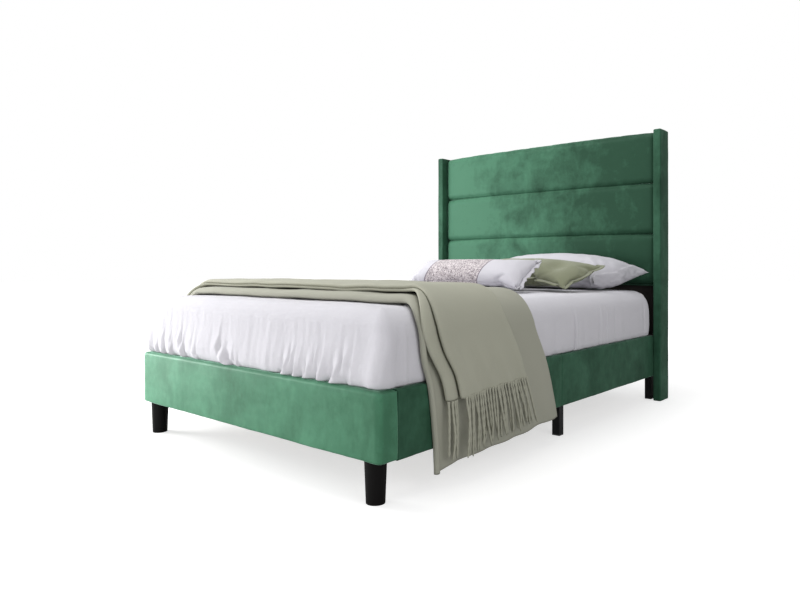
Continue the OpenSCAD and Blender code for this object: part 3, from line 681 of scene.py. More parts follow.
class BED_OT_channel_pads(bpy.types.Operator):
    """Makes the headboard's channel pads, with puckers along their seams"""

    bl_idname = "bed.channel_pads"
    bl_label = "Channel Pads"

    def execute(self, context):
        look = context.scene.bed_upholstery
        for seed, node in enumerate(("pad_top", "pad_middle", "pad_lower")):
            low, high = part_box(node)
            low.z, high.z = low.z - PAD_PRESS, high.z + PAD_PRESS
            low.y += look.pad_crown
            middle, half = (low.z + high.z) / 2, (high.z - low.z) / 2

            def pucker(points, outward, seed=seed, middle=middle, half=half, low=low):
                near = eased(np.abs(points[:, 2] - middle), half - 0.045, half - 0.008)
                front = eased(-outward[:, 1], 0.05, 0.6)
                waves = np.stack([points[:, 0], np.full(len(points), seed * 0.7), points[:, 2] * 0.12], axis=1)
                points[:, 1] += near * front * (0.0011 * ripple(waves, 0.055, 20 + seed)
                                                + 0.0007 * ripple(waves, 0.024, 40 + seed))
                points[:, 2] += near * 0.0005 * ripple(waves, 0.06, 60 + seed)
                return points

            roll = look.pad_roll
            # The pads take the headboard's copy of the velvet, with painted shade and a painted light slope along X.
            pad = upholster(node.replace("pad_", "channel_pad_"), low, high,
                            ((0.028, 0.028), (0.029, 0.001), (roll, roll)), 0.009,
                            look.pad_crown, seed * 7 + 1, finish("headboard_velvet"), pucker)
            fit_in(pad, "frame", "velvet", node)
        self.top_wrap()
        return {"FINISHED"}

    @staticmethod
    def top_wrap():
        """The velvet that is pulled over the headboard's top edge and stapled behind it."""
        low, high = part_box("headboard_board")
        front, back, top = low.y - 0.0012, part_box("back_dust_cover")[1].y + 0.0010, high.z + 0.0010
        path = spline([(front, top - 0.016), (front, top - 0.003), (front + 0.002, top), (back - 0.002, top),
                       (back, top - 0.002), (back, top - 0.0125)], 22)
        places = np.linspace(low.x + 0.0005, high.x - 0.0005, 190)
        points = np.array([(x, y, z) for x in places for y, z in path])
        points[:, 2] += 0.0005 * ripple(points * (1.0, 1.0, 0.2), 0.09, 51)
        # The wrap takes the headboard's copy of the velvet, with painted shade and a painted light slope along X.
        wrap = add_mesh("headboard_top_wrap", points, grid_faces(len(places), len(path)), finish("headboard_velvet"))
        thicken(wrap, 0.0012, 0.0)
        fit_in(wrap, "frame", "velvet")


class BED_OT_wing_covers(bpy.types.Operator):
    """Covers the two wings, each with rolled edges at its front"""

    bl_idname = "bed.wing_covers"
    bl_label = "Wing Covers"

    def execute(self, context):
        for seed, side in enumerate(("left", "right")):
            node = f"wing_cover_{side}"
            low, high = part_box(node)
            roll = 0.0065
            low, high = low + Vector((0, 0.0012, 0)), high + Vector((0, 0.0018, 0))
            # The wings take the velvet copy painted darker, as shade.
            wing = upholster(f"wing_upholstery_{side}", low, high, ((roll, roll), (roll, 0.003), (0.003, roll)),
                             0.012, 0.0010, 90 + seed, finish("dark_velvet"))
            fit_in(wing, "frame", "velvet", node)
        return {"FINISHED"}


class BED_OT_frame_covers(bpy.types.Operator):
    """Covers the footboard and the four half rails, each a soft block with a seam at its ends"""

    bl_idname = "bed.frame_covers"
    bl_label = "Footboard and Rail Covers"

    def execute(self, context):
        look = context.scene.bed_upholstery
        low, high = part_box("footboard_cover")
        roll, corner = look.board_roll, look.corner_roll
        # The footboard takes the velvet copy painted lighter, as lit, with a faint painted light slope along X.
        foot = upholster("footboard_upholstery", low, high,
                         ((corner, corner), (0.016, 0.004), (roll, roll)), 0.010, 0.0022, 11, finish("foot_velvet"))
        fit_in(foot, "frame", "velvet", "footboard_cover")
        roll = look.rail_roll
        for seed, node in enumerate(("rail_front_left_cover", "rail_front_right_cover",
                                     "rail_rear_left_cover", "rail_rear_right_cover")):
            low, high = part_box(node)
            if low.x > 0:
                low.x += RAIL_GAP
                radii = (RAIL_GAP, roll)
            else:
                high.x -= RAIL_GAP
                radii = (roll, RAIL_GAP)
            # The rails take the velvet copy painted darker, as shade.
            rail = upholster(node.replace("_cover", "_upholstery"), low, high,
                             (radii, (0.0035, 0.0035), (roll, roll)), 0.012, 0.0010, 31 + seed, finish("dark_velvet"))
            fit_in(rail, "frame", "velvet", node)
        return {"FINISHED"}


# ---------------------------------------------------------------- mattress and sheet


class BED_OT_mattress(bpy.types.Operator):
    """Makes the mattress, quilted on both faces, with ridges round its sides"""

    bl_idname = "bed.mattress"
    bl_label = "Mattress"

    def execute(self, context):
        low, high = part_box("mattress")
        roll = 0.028

        def quilt(points, outward):
            flat = eased(np.abs(outward[:, 2]), 0.8, 1.0)
            pitch = 2 * math.pi / 0.22
            across = np.sin((points[:, 0] + points[:, 1]) * pitch / 2)
            lines = np.abs(across * np.sin((points[:, 0] - points[:, 1]) * pitch / 2))
            points[:, 2] -= np.sign(outward[:, 2]) * flat * 0.004 * (1 - lines**0.4)
            side = 1 - flat
            points -= outward * (side * 0.0025 * (0.5 + 0.5 * np.cos(points[:, 2] * 2 * math.pi / 0.08)))[:, None]
            return points

        piece = upholster("mattress_body", low, high, ((roll, roll),) * 3, 0.016, 0.0, 5,
                          finish("mattress_ticking"), quilt)
        fit_in(piece, "mattress", "mattress_ticking", "mattress")
        return {"FINISHED"}


# A pleat: its place across the foot at the rail, how far it leans by its top, its width, its reach
# upwards and its share of the pleat depth.
PLEATS = (
    (-0.655, -0.030, 0.016, 0.170, 0.35), (-0.610, -0.045, 0.018, 0.180, 0.45),
    (-0.555, -0.055, 0.020, 0.170, 0.55), (-0.490, -0.060, 0.022, 0.150, 0.55),
    (-0.400, -0.090, 0.026, 0.140, 0.75), (-0.300, -0.090, 0.022, 0.110, 0.50),
    (-0.085, -0.150, 0.040, 0.120, 1.25), (-0.015, -0.110, 0.018, 0.070, 0.45),
    (0.240, 0.080, 0.030, 0.115, 1.10), (0.302, 0.040, 0.020, 0.105, 0.90), (0.352, 0.080, 0.022, 0.100, 0.85),
    (0.425, 0.030, 0.024, 0.125, 0.85), (0.485, 0.110, 0.032, 0.130, 1.25), (0.560, 0.040, 0.020, 0.080, 0.35),
    (0.640, 0.020, 0.016, 0.090, 0.30),
)
# Upright creases at the sides: distance from the foot, width and depth.
CREASES = (
    (0.085, 0.006, 0.0065), (0.118, 0.010, -0.0040), (1.168, 0.004, 0.0075), (1.182, 0.007, -0.0055),
    (1.405, 0.005, 0.0060), (1.423, 0.006, -0.0040), (1.470, 0.005, 0.0060), (1.560, 0.008, 0.0025),
    (1.90, 0.008, 0.003),
)
# The sheet from the top's rim down to the tuck: a share of its roll and a drop.
SHEET_PROFILE = (
    (0.00, 0.000), (0.20, 0.0015), (0.383, 0.0057), (0.56, 0.0130), (0.707, 0.0220), (0.84, 0.0335),
    (0.924, 0.0460), (0.98, 0.0600), (1.00, 0.0780), (1.01, 0.1100), (1.02, 0.1450), (1.02, 0.1800),
    (1.00, 0.2080), (0.93, 0.2300), (0.60, 0.2350), (0.16, 0.2358), (0.10, 0.2450), (0.04, 0.2620),
)
# How far the top rolls over at the sides and at the ends, how much further the foot end sags, how square
# the corners are and how far the two at the foot stand out.
SHEET_ROLL = (0.085, 0.065)
FOOT_SAG = 0.32
CORNER_POWER = 0.7
CORNER_SWELL = 0.22


def bed_top(x, y):
    """Height of the made bed's top, which is a little higher along its middle."""
    low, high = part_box("bed_sheet")
    across = np.clip(np.abs(x) / high.x, 0, 1)
    along = np.clip(np.abs((y - (low.y + high.y) / 2) / ((high.y - low.y) / 2)), 0, 1)
    return SHEET_TOP - 0.0045 + 0.0042 * (1 - across**2) * (1 - along**4)


def sheet_rim(steps_x, steps_y, fan):
    """The rim of the sheet's flat top, walked round once: grid column and row, and outward direction."""
    rim = []

    def corner(column, row, start):
        for k in range(fan + 1):
            angle = start + k * math.pi / 2 / fan
            c, s = math.cos(angle), math.sin(angle)
            full = 1 + CORNER_SWELL * (2 * c * s) ** 2 * (s < 0)
            rim.append((column, row, full * math.copysign(abs(c) ** CORNER_POWER, c),
                        full * math.copysign(abs(s) ** CORNER_POWER, s)))

    corner(0, 0, math.pi)
    rim.extend((i, 0, 0.0, -1.0) for i in range(1, steps_x))
    corner(steps_x, 0, -math.pi / 2)
    rim.extend((steps_x, j, 1.0, 0.0) for j in range(1, steps_y))
    corner(steps_x, steps_y, 0.0)
    rim.extend((i, steps_y, 0.0, 1.0) for i in range(steps_x - 1, 0, -1))
    corner(0, steps_y, math.pi / 2)
    rim.extend((0, j, -1.0, 0.0) for j in range(steps_y - 1, 0, -1))
    return rim


def pleated(x, z, depth):
    """How far the tucked pleats stand out at places on the foot face."""
    out = np.zeros(len(x))
    for place, lean, width, reach, share in PLEATS:
        height = z - RAIL_TOP
        rise = np.clip(1 - height / reach, 0, 1) ** 1.1
        spread = width * (0.35 + 0.65 * rise)
        across = (x - place - lean * np.clip(height / reach, 0, 1.3)) / spread
        steep, soft = (0.34, 1.0) if lean < 0 else (1.0, 0.34)
        ridge = np.where(across < 0, np.exp(-((across / soft) ** 2)), np.exp(-((across / steep) ** 2)))
        side = 1 if lean < 0 else -1
        valley = np.exp(-(((across - side * 0.75) / 0.34) ** 2))
        out += depth * share * rise * (ridge - 0.75 * valley)
    return out


class BED_OT_sheet(bpy.types.Operator):
    """Lays the white sheet over the mattress, bulging at its sides and tucked in pleats"""

    bl_idname = "bed.sheet"
    bl_label = "Sheet"

    def execute(self, context):
        linen = context.scene.bed_linen
        low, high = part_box("mattress")
        steps_x, steps_y, fan, rings = 220, 160, 14, 46
        roll_x, roll_y = SHEET_ROLL
        edge = ((low.x - linen.side_bulge + roll_x, high.x + linen.side_bulge - roll_x),
                (low.y - linen.foot_bulge + roll_y, high.y + linen.head_bulge - roll_y))
        xs = np.linspace(*edge[0], steps_x + 1)
        near = np.linspace(-0.012, 0.012, 9)
        folds = [FOOT + place + near for place, _, _ in CREASES]
        ys = np.unique(np.clip(np.concatenate([np.linspace(*edge[1], steps_y + 1), *folds]), *edge[1]))
        steps_y = len(ys) - 1
        top = np.array([(x, y, 0.0) for y in ys for x in xs])
        rim = sheet_rim(steps_x, steps_y, fan)
        normal = np.array([(c, s) for _, _, c, s in rim])
        base = np.array([(xs[i], ys[j]) for i, j, _, _ in rim])
        profile = spline(SHEET_PROFILE, rings + 1)[1:]
        clear = 0.002
        to_side = np.where(normal[:, 0] > 0, high.x - edge[0][1], edge[0][0] - low.x) + clear
        to_end = np.where(normal[:, 1] > 0, high.y - edge[1][1], edge[1][0] - low.y) + clear
        tuck = np.stack([to_side, to_end], axis=1)
        rounder = 1 + 0.35 * normal[:, 0] ** 2
        layers = []
        for share, drop in profile:
            down = drop * (1 + (rounder - 1) * (1 - eased(drop, 0.05, 0.12)))
            sag = 1 + FOOT_SAG * eased(drop, 0.08, 0.22) * (normal[:, 1] < 0)
            roll = np.column_stack([np.full(len(rim), roll_x), roll_y * sag])
            reach = np.maximum(share * roll, tuck * eased(drop, 0.12, 0.19))
            layers.append(np.column_stack([base + normal * reach, -down]))
        skirt = np.concatenate(layers)
        across = np.tile(normal, (rings, 1))
        points = np.concatenate([top, skirt])
        points[:, 2] += bed_top(points[:, 0], points[:, 1])
        hang = np.concatenate([np.zeros(len(top)), np.repeat(profile[:, 1], len(rim))])
        loose = eased(hang, 0.02, 0.09) * (1 - eased(hang, 0.232, 0.240))
        outward = np.concatenate([np.zeros((len(top), 2)), across])
        side = np.clip(np.abs(outward[:, 0]), 0, 1) ** 2
        front = np.clip(-outward[:, 1], 0, 1) ** 3
        pleats = pleated(points[:, 0], points[:, 2], linen.pleat_depth) * front
        upright = points * (1.0, 1.0, 0.22)
        low_down = eased(hang, 0.07, 0.21)
        slack = 0.0019 * ripple(upright, 0.085, 3) * (0.35 + 0.65 * low_down) + 0.0007 * ripple(upright, 0.034, 4)
        crumple = (0.0011 * ripple(points, 0.060, 6) + 0.0006 * ripple(points, 0.026, 7)) * front
        along = points[:, 1] - FOOT
        crease = np.zeros(len(points))
        for place, width, depth in CREASES:
            crease -= depth * np.exp(-(((along - place) / width) ** 2)) * side
        tucked = (1 - eased(hang, 0.236, 0.246)) * eased(hang, 0.03, 0.07) * pleats
        out = loose * (slack + crumple + crease) + tucked
        points[:, :2] += outward * out[:, None]
        flat = 1 - eased(hang, 0.0, 0.03)
        points[:, 2] += flat * (0.0014 * ripple(points, 0.22, 8) + 0.0006 * ripple(points, 0.07, 9))
        faces = grid_faces(steps_y + 1, steps_x + 1)
        count, first = len(rim), len(top)
        for s in range(count):
            t = (s + 1) % count
            a, b = (rim[k][1] * (steps_x + 1) + rim[k][0] for k in (s, t))
            if a == b:
                faces.append([a, first + s, first + t])
            else:
                faces.append([a, first + s, first + t, b])
        faces += grid_faces(rings, count, first, close_columns=True)
        sheet = add_mesh("bed_sheet_linen", points, faces, finish("sheet_linen"))
        fit_in(sheet, "mattress", "white_linen", "bed_sheet")
        return {"FINISHED"}


# ---------------------------------------------------------------- folded wool


def over_bed(along, half, radius, height):
    """Places and outward directions on a path across the bed: up one side, over and down the other.
    along is the distance from the bed's middle."""
    side = np.sign(along)
    flat, arc = half - radius, math.pi / 2 * radius
    far = np.abs(along)
    angle = np.clip((far - flat) / radius, 0, math.pi / 2)
    x = np.minimum(far, flat) + radius * np.sin(angle)
    z = height - radius + radius * np.cos(angle) - np.maximum(far - flat - arc, 0)
    return np.stack([side * x, z], axis=-1), np.stack([side * np.sin(angle), np.cos(angle)], axis=-1)


def folded_wool(name, half, radius, height, left_hem, hem, foot_edge, head_edge, section, ripples, material, cloth):
    """A length of wool folded along its two long edges and laid across the bed.
    section holds points of the fold: a distance from the foot edge, a share of the way to the head
    edge, the same for the part that hangs, and the height over what it lies on, lying and hanging.
    foot_edge and head_edge give the places of the two edges, as distances from the foot of the bed for a
    fall below the top, and hem the height of the right hem for a share of the way from the foot edge to
    the head edge."""
    columns, rows = 230, 250
    fold = spline(section, columns, FOLD_WEIGHTS)
    lying, hanging = fold[:, (0, 1, 4)], fold[:, (2, 3, 5)]
    flat_part = half - radius + math.pi / 2 * radius
    left_end = flat_part + height - radius - left_hem
    share = np.clip(hanging[:, 1] + hanging[:, 0] / (head_edge[-1][1] - foot_edge[-1][1]), 0, 1)
    right_end = flat_part + height - radius - hem(share)
    t = np.linspace(0, 1, rows)[:, None]
    along = -left_end + t * (left_end + right_end[None, :])
    place, outward = over_bed(along, half, radius, height)
    far = np.abs(along)
    hang = np.clip((far - flat_part) / (right_end[None, :] - flat_part), 0, 1) * (along > 0)
    fall = (height - place[..., 1]) * (along > 0)
    turned = eased(far, half - radius - 0.06, flat_part + 0.03)
    edge, reach, lift = (lying[None, :, k] * (1 - turned) + hanging[None, :, k] * turned for k in range(3))
    foot, head = curve_at(foot_edge, fall), curve_at(head_edge, fall)
    y = FOOT + foot + edge + reach * (head - foot)
    points = np.stack([place[..., 0], y, place[..., 1]], axis=-1)
    lift = lift + ripples(points, hang, turned)
    points[..., 0] += outward[..., 0] * lift
    points[..., 2] += outward[..., 1] * lift
    top = 1 - eased(far, half - 0.2, half)
    points[..., 2] += top * (bed_top(points[..., 0], points[..., 1]) - SHEET_TOP)
    piece = add_mesh(name, points.reshape(-1, 3), grid_faces(rows, columns), material)
    thicken(piece, cloth, 0.0)
    return piece, points


def blanket_hem(share):
    """Height of the blanket's right hem from its foot edge to its head edge."""
    return np.interp(share, [0.0, 0.06, 0.15, 0.45, 0.65, 0.82, 1.0],
                     [0.050, 0.056, 0.068, 0.074, 0.078, 0.092, 0.098])


# How much each column of a fold's section counts when it is cut into even steps.
FOLD_WEIGHTS = (1.0, 0.12, 1.0, 0.12, 1.0, 1.0)
BLANKET_SECTION = (
    (0.0, 0.48, 0.0, 0.48, 0.0020, 0.0015), (0.0, 0.30, 0.0, 0.30, 0.0020, 0.0015),
    (0.070, 0.0, 0.070, 0.0, 0.0020, 0.0015), (0.018, 0.0, 0.014, 0.0, 0.0030, 0.0018),
    (0.003, 0.0, 0.002, 0.0, 0.0080, 0.0045), (0.0, 0.0, 0.0, 0.0, 0.0150, 0.0095),
    (0.005, 0.0, 0.002, 0.0, 0.0230, 0.0150), (0.018, 0.0, 0.009, 0.0, 0.0290, 0.0180),
    (0.036, 0.0, 0.018, 0.0, 0.0310, 0.0125), (0.062, 0.0, 0.027, 0.0, 0.0315, 0.0045),
    (0.100, 0.0, 0.060, 0.0, 0.0320, 0.0040), (0.0, 0.30, 0.0, 0.26, 0.0320, 0.0055),
    (0.0, 0.50, 0.0, 0.50, 0.0320, 0.0055), (0.0, 0.75, 0.0, 0.76, 0.0345, 0.0070),
    (-0.060, 1.0, -0.060, 1.0, 0.0400, 0.0110), (-0.022, 1.0, -0.018, 1.0, 0.0360, 0.0100),
    (-0.004, 1.0, -0.003, 1.0, 0.0260, 0.0075), (0.0, 1.0, 0.0, 1.0, 0.0150, 0.0050),
    (-0.005, 1.0, -0.004, 1.0, 0.0070, 0.0026), (-0.030, 1.0, -0.025, 1.0, 0.0030, 0.0016),
    (0.0, 0.75, 0.0, 0.75, 0.0022, 0.0015), (0.0, 0.52, 0.0, 0.52, 0.0022, 0.0015),
)
THROW_SECTION = (
    (0.0, 0.55, 0.0, 0.55, 0.0020, 0.0015), (0.0, 0.30, 0.0, 0.30, 0.0020, 0.0015),
    (0.040, 0.0, -0.010, 0.0, 0.0020, 0.0018), (0.012, 0.0, -0.050, 0.0, 0.0030, 0.0022),
    (0.006, 0.0, -0.067, 0.0, 0.0055, 0.0045), (0.004, 0.0, -0.072, 0.0, 0.0080, 0.0095),
    (0.006, 0.0, -0.067, 0.0, 0.0100, 0.0155), (0.014, 0.0, -0.053, 0.0, 0.0110, 0.0195),
    (0.022, 0.0, -0.034, 0.0, 0.0110, 0.0165), (0.024, 0.0, 0.004, 0.0, 0.0115, 0.0040),
    (0.008, 0.0, 0.002, 0.0, 0.0135, 0.0110), (-0.002, 0.0, -0.012, 0.0, 0.0190, 0.0190),
    (0.002, 0.0, -0.008, 0.0, 0.0240, 0.0265), (0.016, 0.0, 0.010, 0.0, 0.0270, 0.0305),
    (0.040, 0.0, 0.038, 0.0, 0.0275, 0.0260), (0.080, 0.0, 0.075, 0.0, 0.0270, 0.0165),
    (0.0, 0.42, 0.0, 0.40, 0.0270, 0.0115), (0.0, 0.60, 0.0, 0.60, 0.0270, 0.0110),
    (0.0, 0.80, 0.0, 0.80, 0.0270, 0.0105), (-0.020, 1.0, -0.020, 1.0, 0.0250, 0.0110),
    (-0.004, 1.0, -0.004, 1.0, 0.0190, 0.0090), (0.0, 1.0, 0.0, 1.0, 0.0130, 0.0060),
    (-0.006, 1.0, -0.006, 1.0, 0.0070, 0.0038), (-0.030, 1.0, -0.030, 1.0, 0.0030, 0.0020),
    (0.0, 0.60, 0.0, 0.60, 0.0025, 0.0018),
)
# Places of the edges along the bed, from its foot, for how far the cloth has fallen below its top.
BLANKET_FOOT = (
    (0, 0.198), (0.015, 0.180), (0.040, 0.165), (0.075, 0.163), (0.120, 0.168), (0.160, 0.173), (0.190, 0.181),
    (0.252, 0.203), (0.352, 0.219), (0.451, 0.230), (0.560, 0.235),
)
BLANKET_HEAD = (
    (0, 0.800), (0.060, 0.803), (0.136, 0.838), (0.235, 0.900), (0.350, 0.948), (0.480, 0.989), (0.560, 0.996),
)
THROW_FOOT = (
    (0, 0.250), (0.025, 0.232), (0.060, 0.224), (0.100, 0.229), (0.184, 0.266), (0.264, 0.320), (0.334, 0.344),
    (0.360, 0.350),
)
THROW_HEAD = (
    (0, 0.590), (0.080, 0.592), (0.146, 0.637), (0.238, 0.694), (0.324, 0.729), (0.360, 0.738),
)
# Height of the blanket's left hem.
LEFT_HEM = 0.372


class BED_OT_blanket(bpy.types.Operator):
    """Folds the plain blanket and lays it across the bed"""

    bl_idname = "bed.blanket"
    bl_label = "Blanket"

    def execute(self, context):
        linen = context.scene.bed_linen

        def ripples(points, hang, turned):
            flat = points.reshape(-1, 3)
            soft = ripple(flat * (1.0, 1.0, 0.35), 0.26, 71).reshape(hang.shape)
            fine = ripple(flat, 0.09, 72).reshape(hang.shape)
            flute = np.sin((points[..., 1] - FOOT - 0.12 * hang) * 2 * math.pi / 0.155 + 0.6)
            ease = eased(points[..., 1] - FOOT, 0.27, 0.40)
            return (0.0026 * soft * (1 - turned) + 0.0006 * fine
                    + turned * ease * (0.0034 * (flute + 1) * eased(hang, 0.10, 0.9) + 0.0014 * (soft + 1)))

        piece, _ = folded_wool("wool_blanket", 0.7085, 0.100, SHEET_TOP + 0.0010, LEFT_HEM,
                               blanket_hem, BLANKET_FOOT, BLANKET_HEAD, BLANKET_SECTION, ripples,
                               finish("blanket_wool"), linen.cloth)
        fit_in(piece, "blanket", "blanket_wool", "blanket")
        return {"FINISHED"}


def throw_hem(share):
    """Height of the throw's right hem, above its fringe."""
    return np.interp(share, [0.0, 0.5, 1.0], [0.274, 0.282, 0.288])


# The length in which the two yarns of a strand turn round each other once.
YARN_TURN = 0.026


class BED_OT_throw(bpy.types.Operator):
    """Folds the throw, lays it on the blanket and hangs its twisted fringe"""

    bl_idname = "bed.throw"
    bl_label = "Throw and Fringe"

    def execute(self, context):
        linen = context.scene.bed_linen

        def ripples(points, hang, turned):
            flat = points.reshape(-1, 3)
            soft = ripple(flat * (1.0, 1.0, 0.3), 0.24, 81).reshape(hang.shape)
            fine = ripple(flat, 0.08, 82).reshape(hang.shape)
            flute = np.sin((points[..., 1] - FOOT - 0.13 * hang) * 2 * math.pi / 0.098 + 1.2)
            ease = eased(points[..., 1] - FOOT, 0.33, 0.42)
            return (0.0028 * soft * (1 - turned) + 0.0005 * fine
                    + turned * ease * (0.0042 * (flute + 1) * eased(hang, 0.0, 0.7) + 0.0016 * (soft + 1)))

        piece, points = folded_wool("fringed_throw", 0.7210, 0.116, SHEET_TOP + 0.0385, LEFT_HEM + 0.01, throw_hem,
                                    THROW_FOOT, THROW_HEAD, THROW_SECTION, ripples, finish("throw_wool"), linen.cloth)
        fit_in(piece, "throw", "throw_wool", "throw")
        fringe = self.fringe(linen, points[-1])
        fit_in(fringe, "throw", "throw_wool")
        return {"FINISHED"}

    def fringe(self, linen, hem):
        """Twisted strands that hang from the right hem and fall together in pairs."""
        random = np.random.default_rng(17)
        points, faces = [], []
        outer = hem[np.argmin(hem[:, 1]) :]
        foot, head = FOOT + THROW_FOOT[-2][1], FOOT + THROW_HEAD[-2][1]
        start_y = np.linspace(foot + 0.006, head - 0.006, linen.strands)
        visible = outer[np.argsort(outer[:, 1])]
        for k, y in enumerate(start_y):
            share = k / (linen.strands - 1)
            near = np.abs(visible[:, 1] - y) < 0.008
            x = visible[near, 0].max() if near.any() else visible[:, 0].max()
            pair = 0.011 if k % 2 == 0 else -0.011
            lean = 0.055 * share**1.3 + pair * random.uniform(0.6, 1.7) + random.normal(0, 0.006)
            length = linen.strand_length * (1.03 - 0.12 * share) * random.uniform(0.94, 1.03)
            self.strand(points, faces, Vector((x - 0.001, y, throw_hem(share) + 0.006)), lean, length,
                        linen.strand_radius * random.uniform(0.88, 1.1), random, 0.004 + (k % 3) * 0.0036)
        for k in range(4):
            y = foot - 0.066 + k * 0.013
            x = hem[np.argmin(np.abs(hem[:, 1] - y)), 0]
            self.strand(points, faces, Vector((x, y, throw_hem(0) - 0.002)), random.normal(0.014, 0.008),
                        linen.strand_length * random.uniform(0.92, 0.99), linen.strand_radius, random, 0.0)
        return add_mesh("throw_fringe", points, faces, finish("throw_wool"))

    @staticmethod
    def strand(points, faces, start, lean, length, radius, random, stand):
        """One strand: two yarns twisted together, thicker at a knot near the top, with a frayed end."""
        sides, rings = 8, 46
        bend, phase, first = random.normal(0, 0.005), random.uniform(0, 6.28), len(points)
        for i in range(rings):
            t = i / (rings - 1)
            sway = lean * t**1.25 + bend * math.sin(t * math.pi * 1.6 + phase) * t
            centre = Vector((start.x + 0.004 * math.sin(t * 3.0) + stand * t, start.y + sway, start.z - length * t))
            end = min(1.0, 1.25 - t * 0.35) if t < 0.97 else 0.55
            swell = radius * end * (1.25 if t < 0.04 else 1.0)
            twist = t * length / YARN_TURN * 2 * math.pi
            for j in range(sides):
                angle = 2 * math.pi * j / sides
                r = swell * (0.74 + 0.34 * abs(math.cos(angle - twist / 2)))
                points.append((centre.x + r * math.cos(angle), centre.y + r * math.sin(angle), centre.z))
        faces.extend(grid_faces(rings, sides, first, close_columns=True))
        faces.append([first + j for j in range(sides)])
        faces.append([first + (rings - 1) * sides + j for j in range(sides)][::-1])


# ---------------------------------------------------------------- cushions


COVER_STIFFNESS = 12
# How far the back, sage and front cushions tilt up towards the head, in degrees.
WHITE_TILT, SAGE_TILT, FRONT_TILT = 11, 20, 34
# The depth in which a cushion gives way to the bed under it.
PRESS_DEPTH = 0.012


def pocket(width, depth, cell):
    """A flat pocket of two layers, joined along its edges."""
    nx, ny = max(4, round(width / cell)), max(4, round(depth / cell))
    xs, ys = np.linspace(-width / 2, width / 2, nx + 1), np.linspace(-depth / 2, depth / 2, ny + 1)
    points, faces, index = [], [], {}
    for layer in (1, -1):
        for j in range(ny + 1):
            for i in range(nx + 1):
                rim = i in (0, nx) or j in (0, ny)
                key = (i, j, 0 if rim else layer)
                if key not in index:
                    index[key] = len(points)
                    inside = min(i, nx - i) * min(j, ny - j)
                    points.append((xs[i], ys[j], 0.0 if rim else layer * (0.004 + 0.004 * min(1, inside / 40))))
        for j in range(ny):
            for i in range(nx):
                quad = []
                for di, dj in ((0, 0), (1, 0), (1, 1), (0, 1)):
                    ii, jj = i + di, j + dj
                    rim = ii in (0, nx) or jj in (0, ny)
                    quad.append(index[(ii, jj, 0 if rim else layer)])
                faces.append(quad if layer > 0 else quad[::-1])
    rim = [index[(i, 0, 0)] for i in range(nx)] + [index[(nx, j, 0)] for j in range(ny)]
    rim += [index[(i, ny, 0)] for i in range(nx, 0, -1)] + [index[(0, j, 0)] for j in range(ny, 0, -1)]
    return np.array(points), faces, rim


def stuffed(name, width, depth, look):
    """Points, faces and rim of a pocket after stuffing swells it, at its own middle."""
    points, faces, rim = pocket(width, depth, look.cell)
    piece = add_mesh(name, points, faces, finish("white_cotton"))
    cloth = piece.modifiers.new("stuffing", "CLOTH")
    options = cloth.settings
    options.quality = 6
    options.mass = 0.25
    options.tension_stiffness = COVER_STIFFNESS
    options.compression_stiffness = COVER_STIFFNESS
    options.shear_stiffness = COVER_STIFFNESS * 0.3
    options.bending_stiffness = 0.08
    options.tension_damping = 12
    options.compression_damping = 12
    options.air_damping = 3
    options.use_pressure = True
    options.uniform_pressure_force = look.pressure
    options.effector_weights.gravity = 0
    cloth.collision_settings.use_collision = False
    cloth.point_cache.frame_start = 1
    cloth.point_cache.frame_end = look.frames
    for step in range(1, look.frames + 1):
        bpy.context.scene.frame_set(step)
    settle(piece)
    swollen = np.array([v.co for v in piece.data.vertices])
    mesh = piece.data
    bpy.data.objects.remove(piece)
    bpy.data.meshes.remove(mesh)
    bpy.context.scene.frame_set(1)
    return swollen, faces, rim


def sized(points, width, depth, thickness):
    """Points scaled about their middle to a size."""
    low, high = points.min(0), points.max(0)
    return (points - (low + high) / 2) * (np.array([width, depth, thickness]) / (high - low))


def laid(points, middle, tilt):
    """Points tilted up towards the head and moved to their place."""
    turn = math.radians(tilt)
    y = points[:, 1] * math.cos(turn) - points[:, 2] * math.sin(turn)
    z = points[:, 1] * math.sin(turn) + points[:, 2] * math.cos(turn)
    return np.stack([points[:, 0], y, z], axis=1) + np.array(middle)


def above_bed(points, clearance=0.0012):
    """Points pressed flat where they would sink into the made bed."""
    floor = bed_top(points[:, 0], points[:, 1]) + clearance
    limit = floor + PRESS_DEPTH
    depth = np.maximum(floor - points[:, 2], 0)
    pressed = floor + PRESS_DEPTH * np.exp(-(depth + np.maximum(limit - points[:, 2], 0)) / PRESS_DEPTH)
    points[:, 2] = np.where(points[:, 2] < limit, pressed, points[:, 2])
    return points


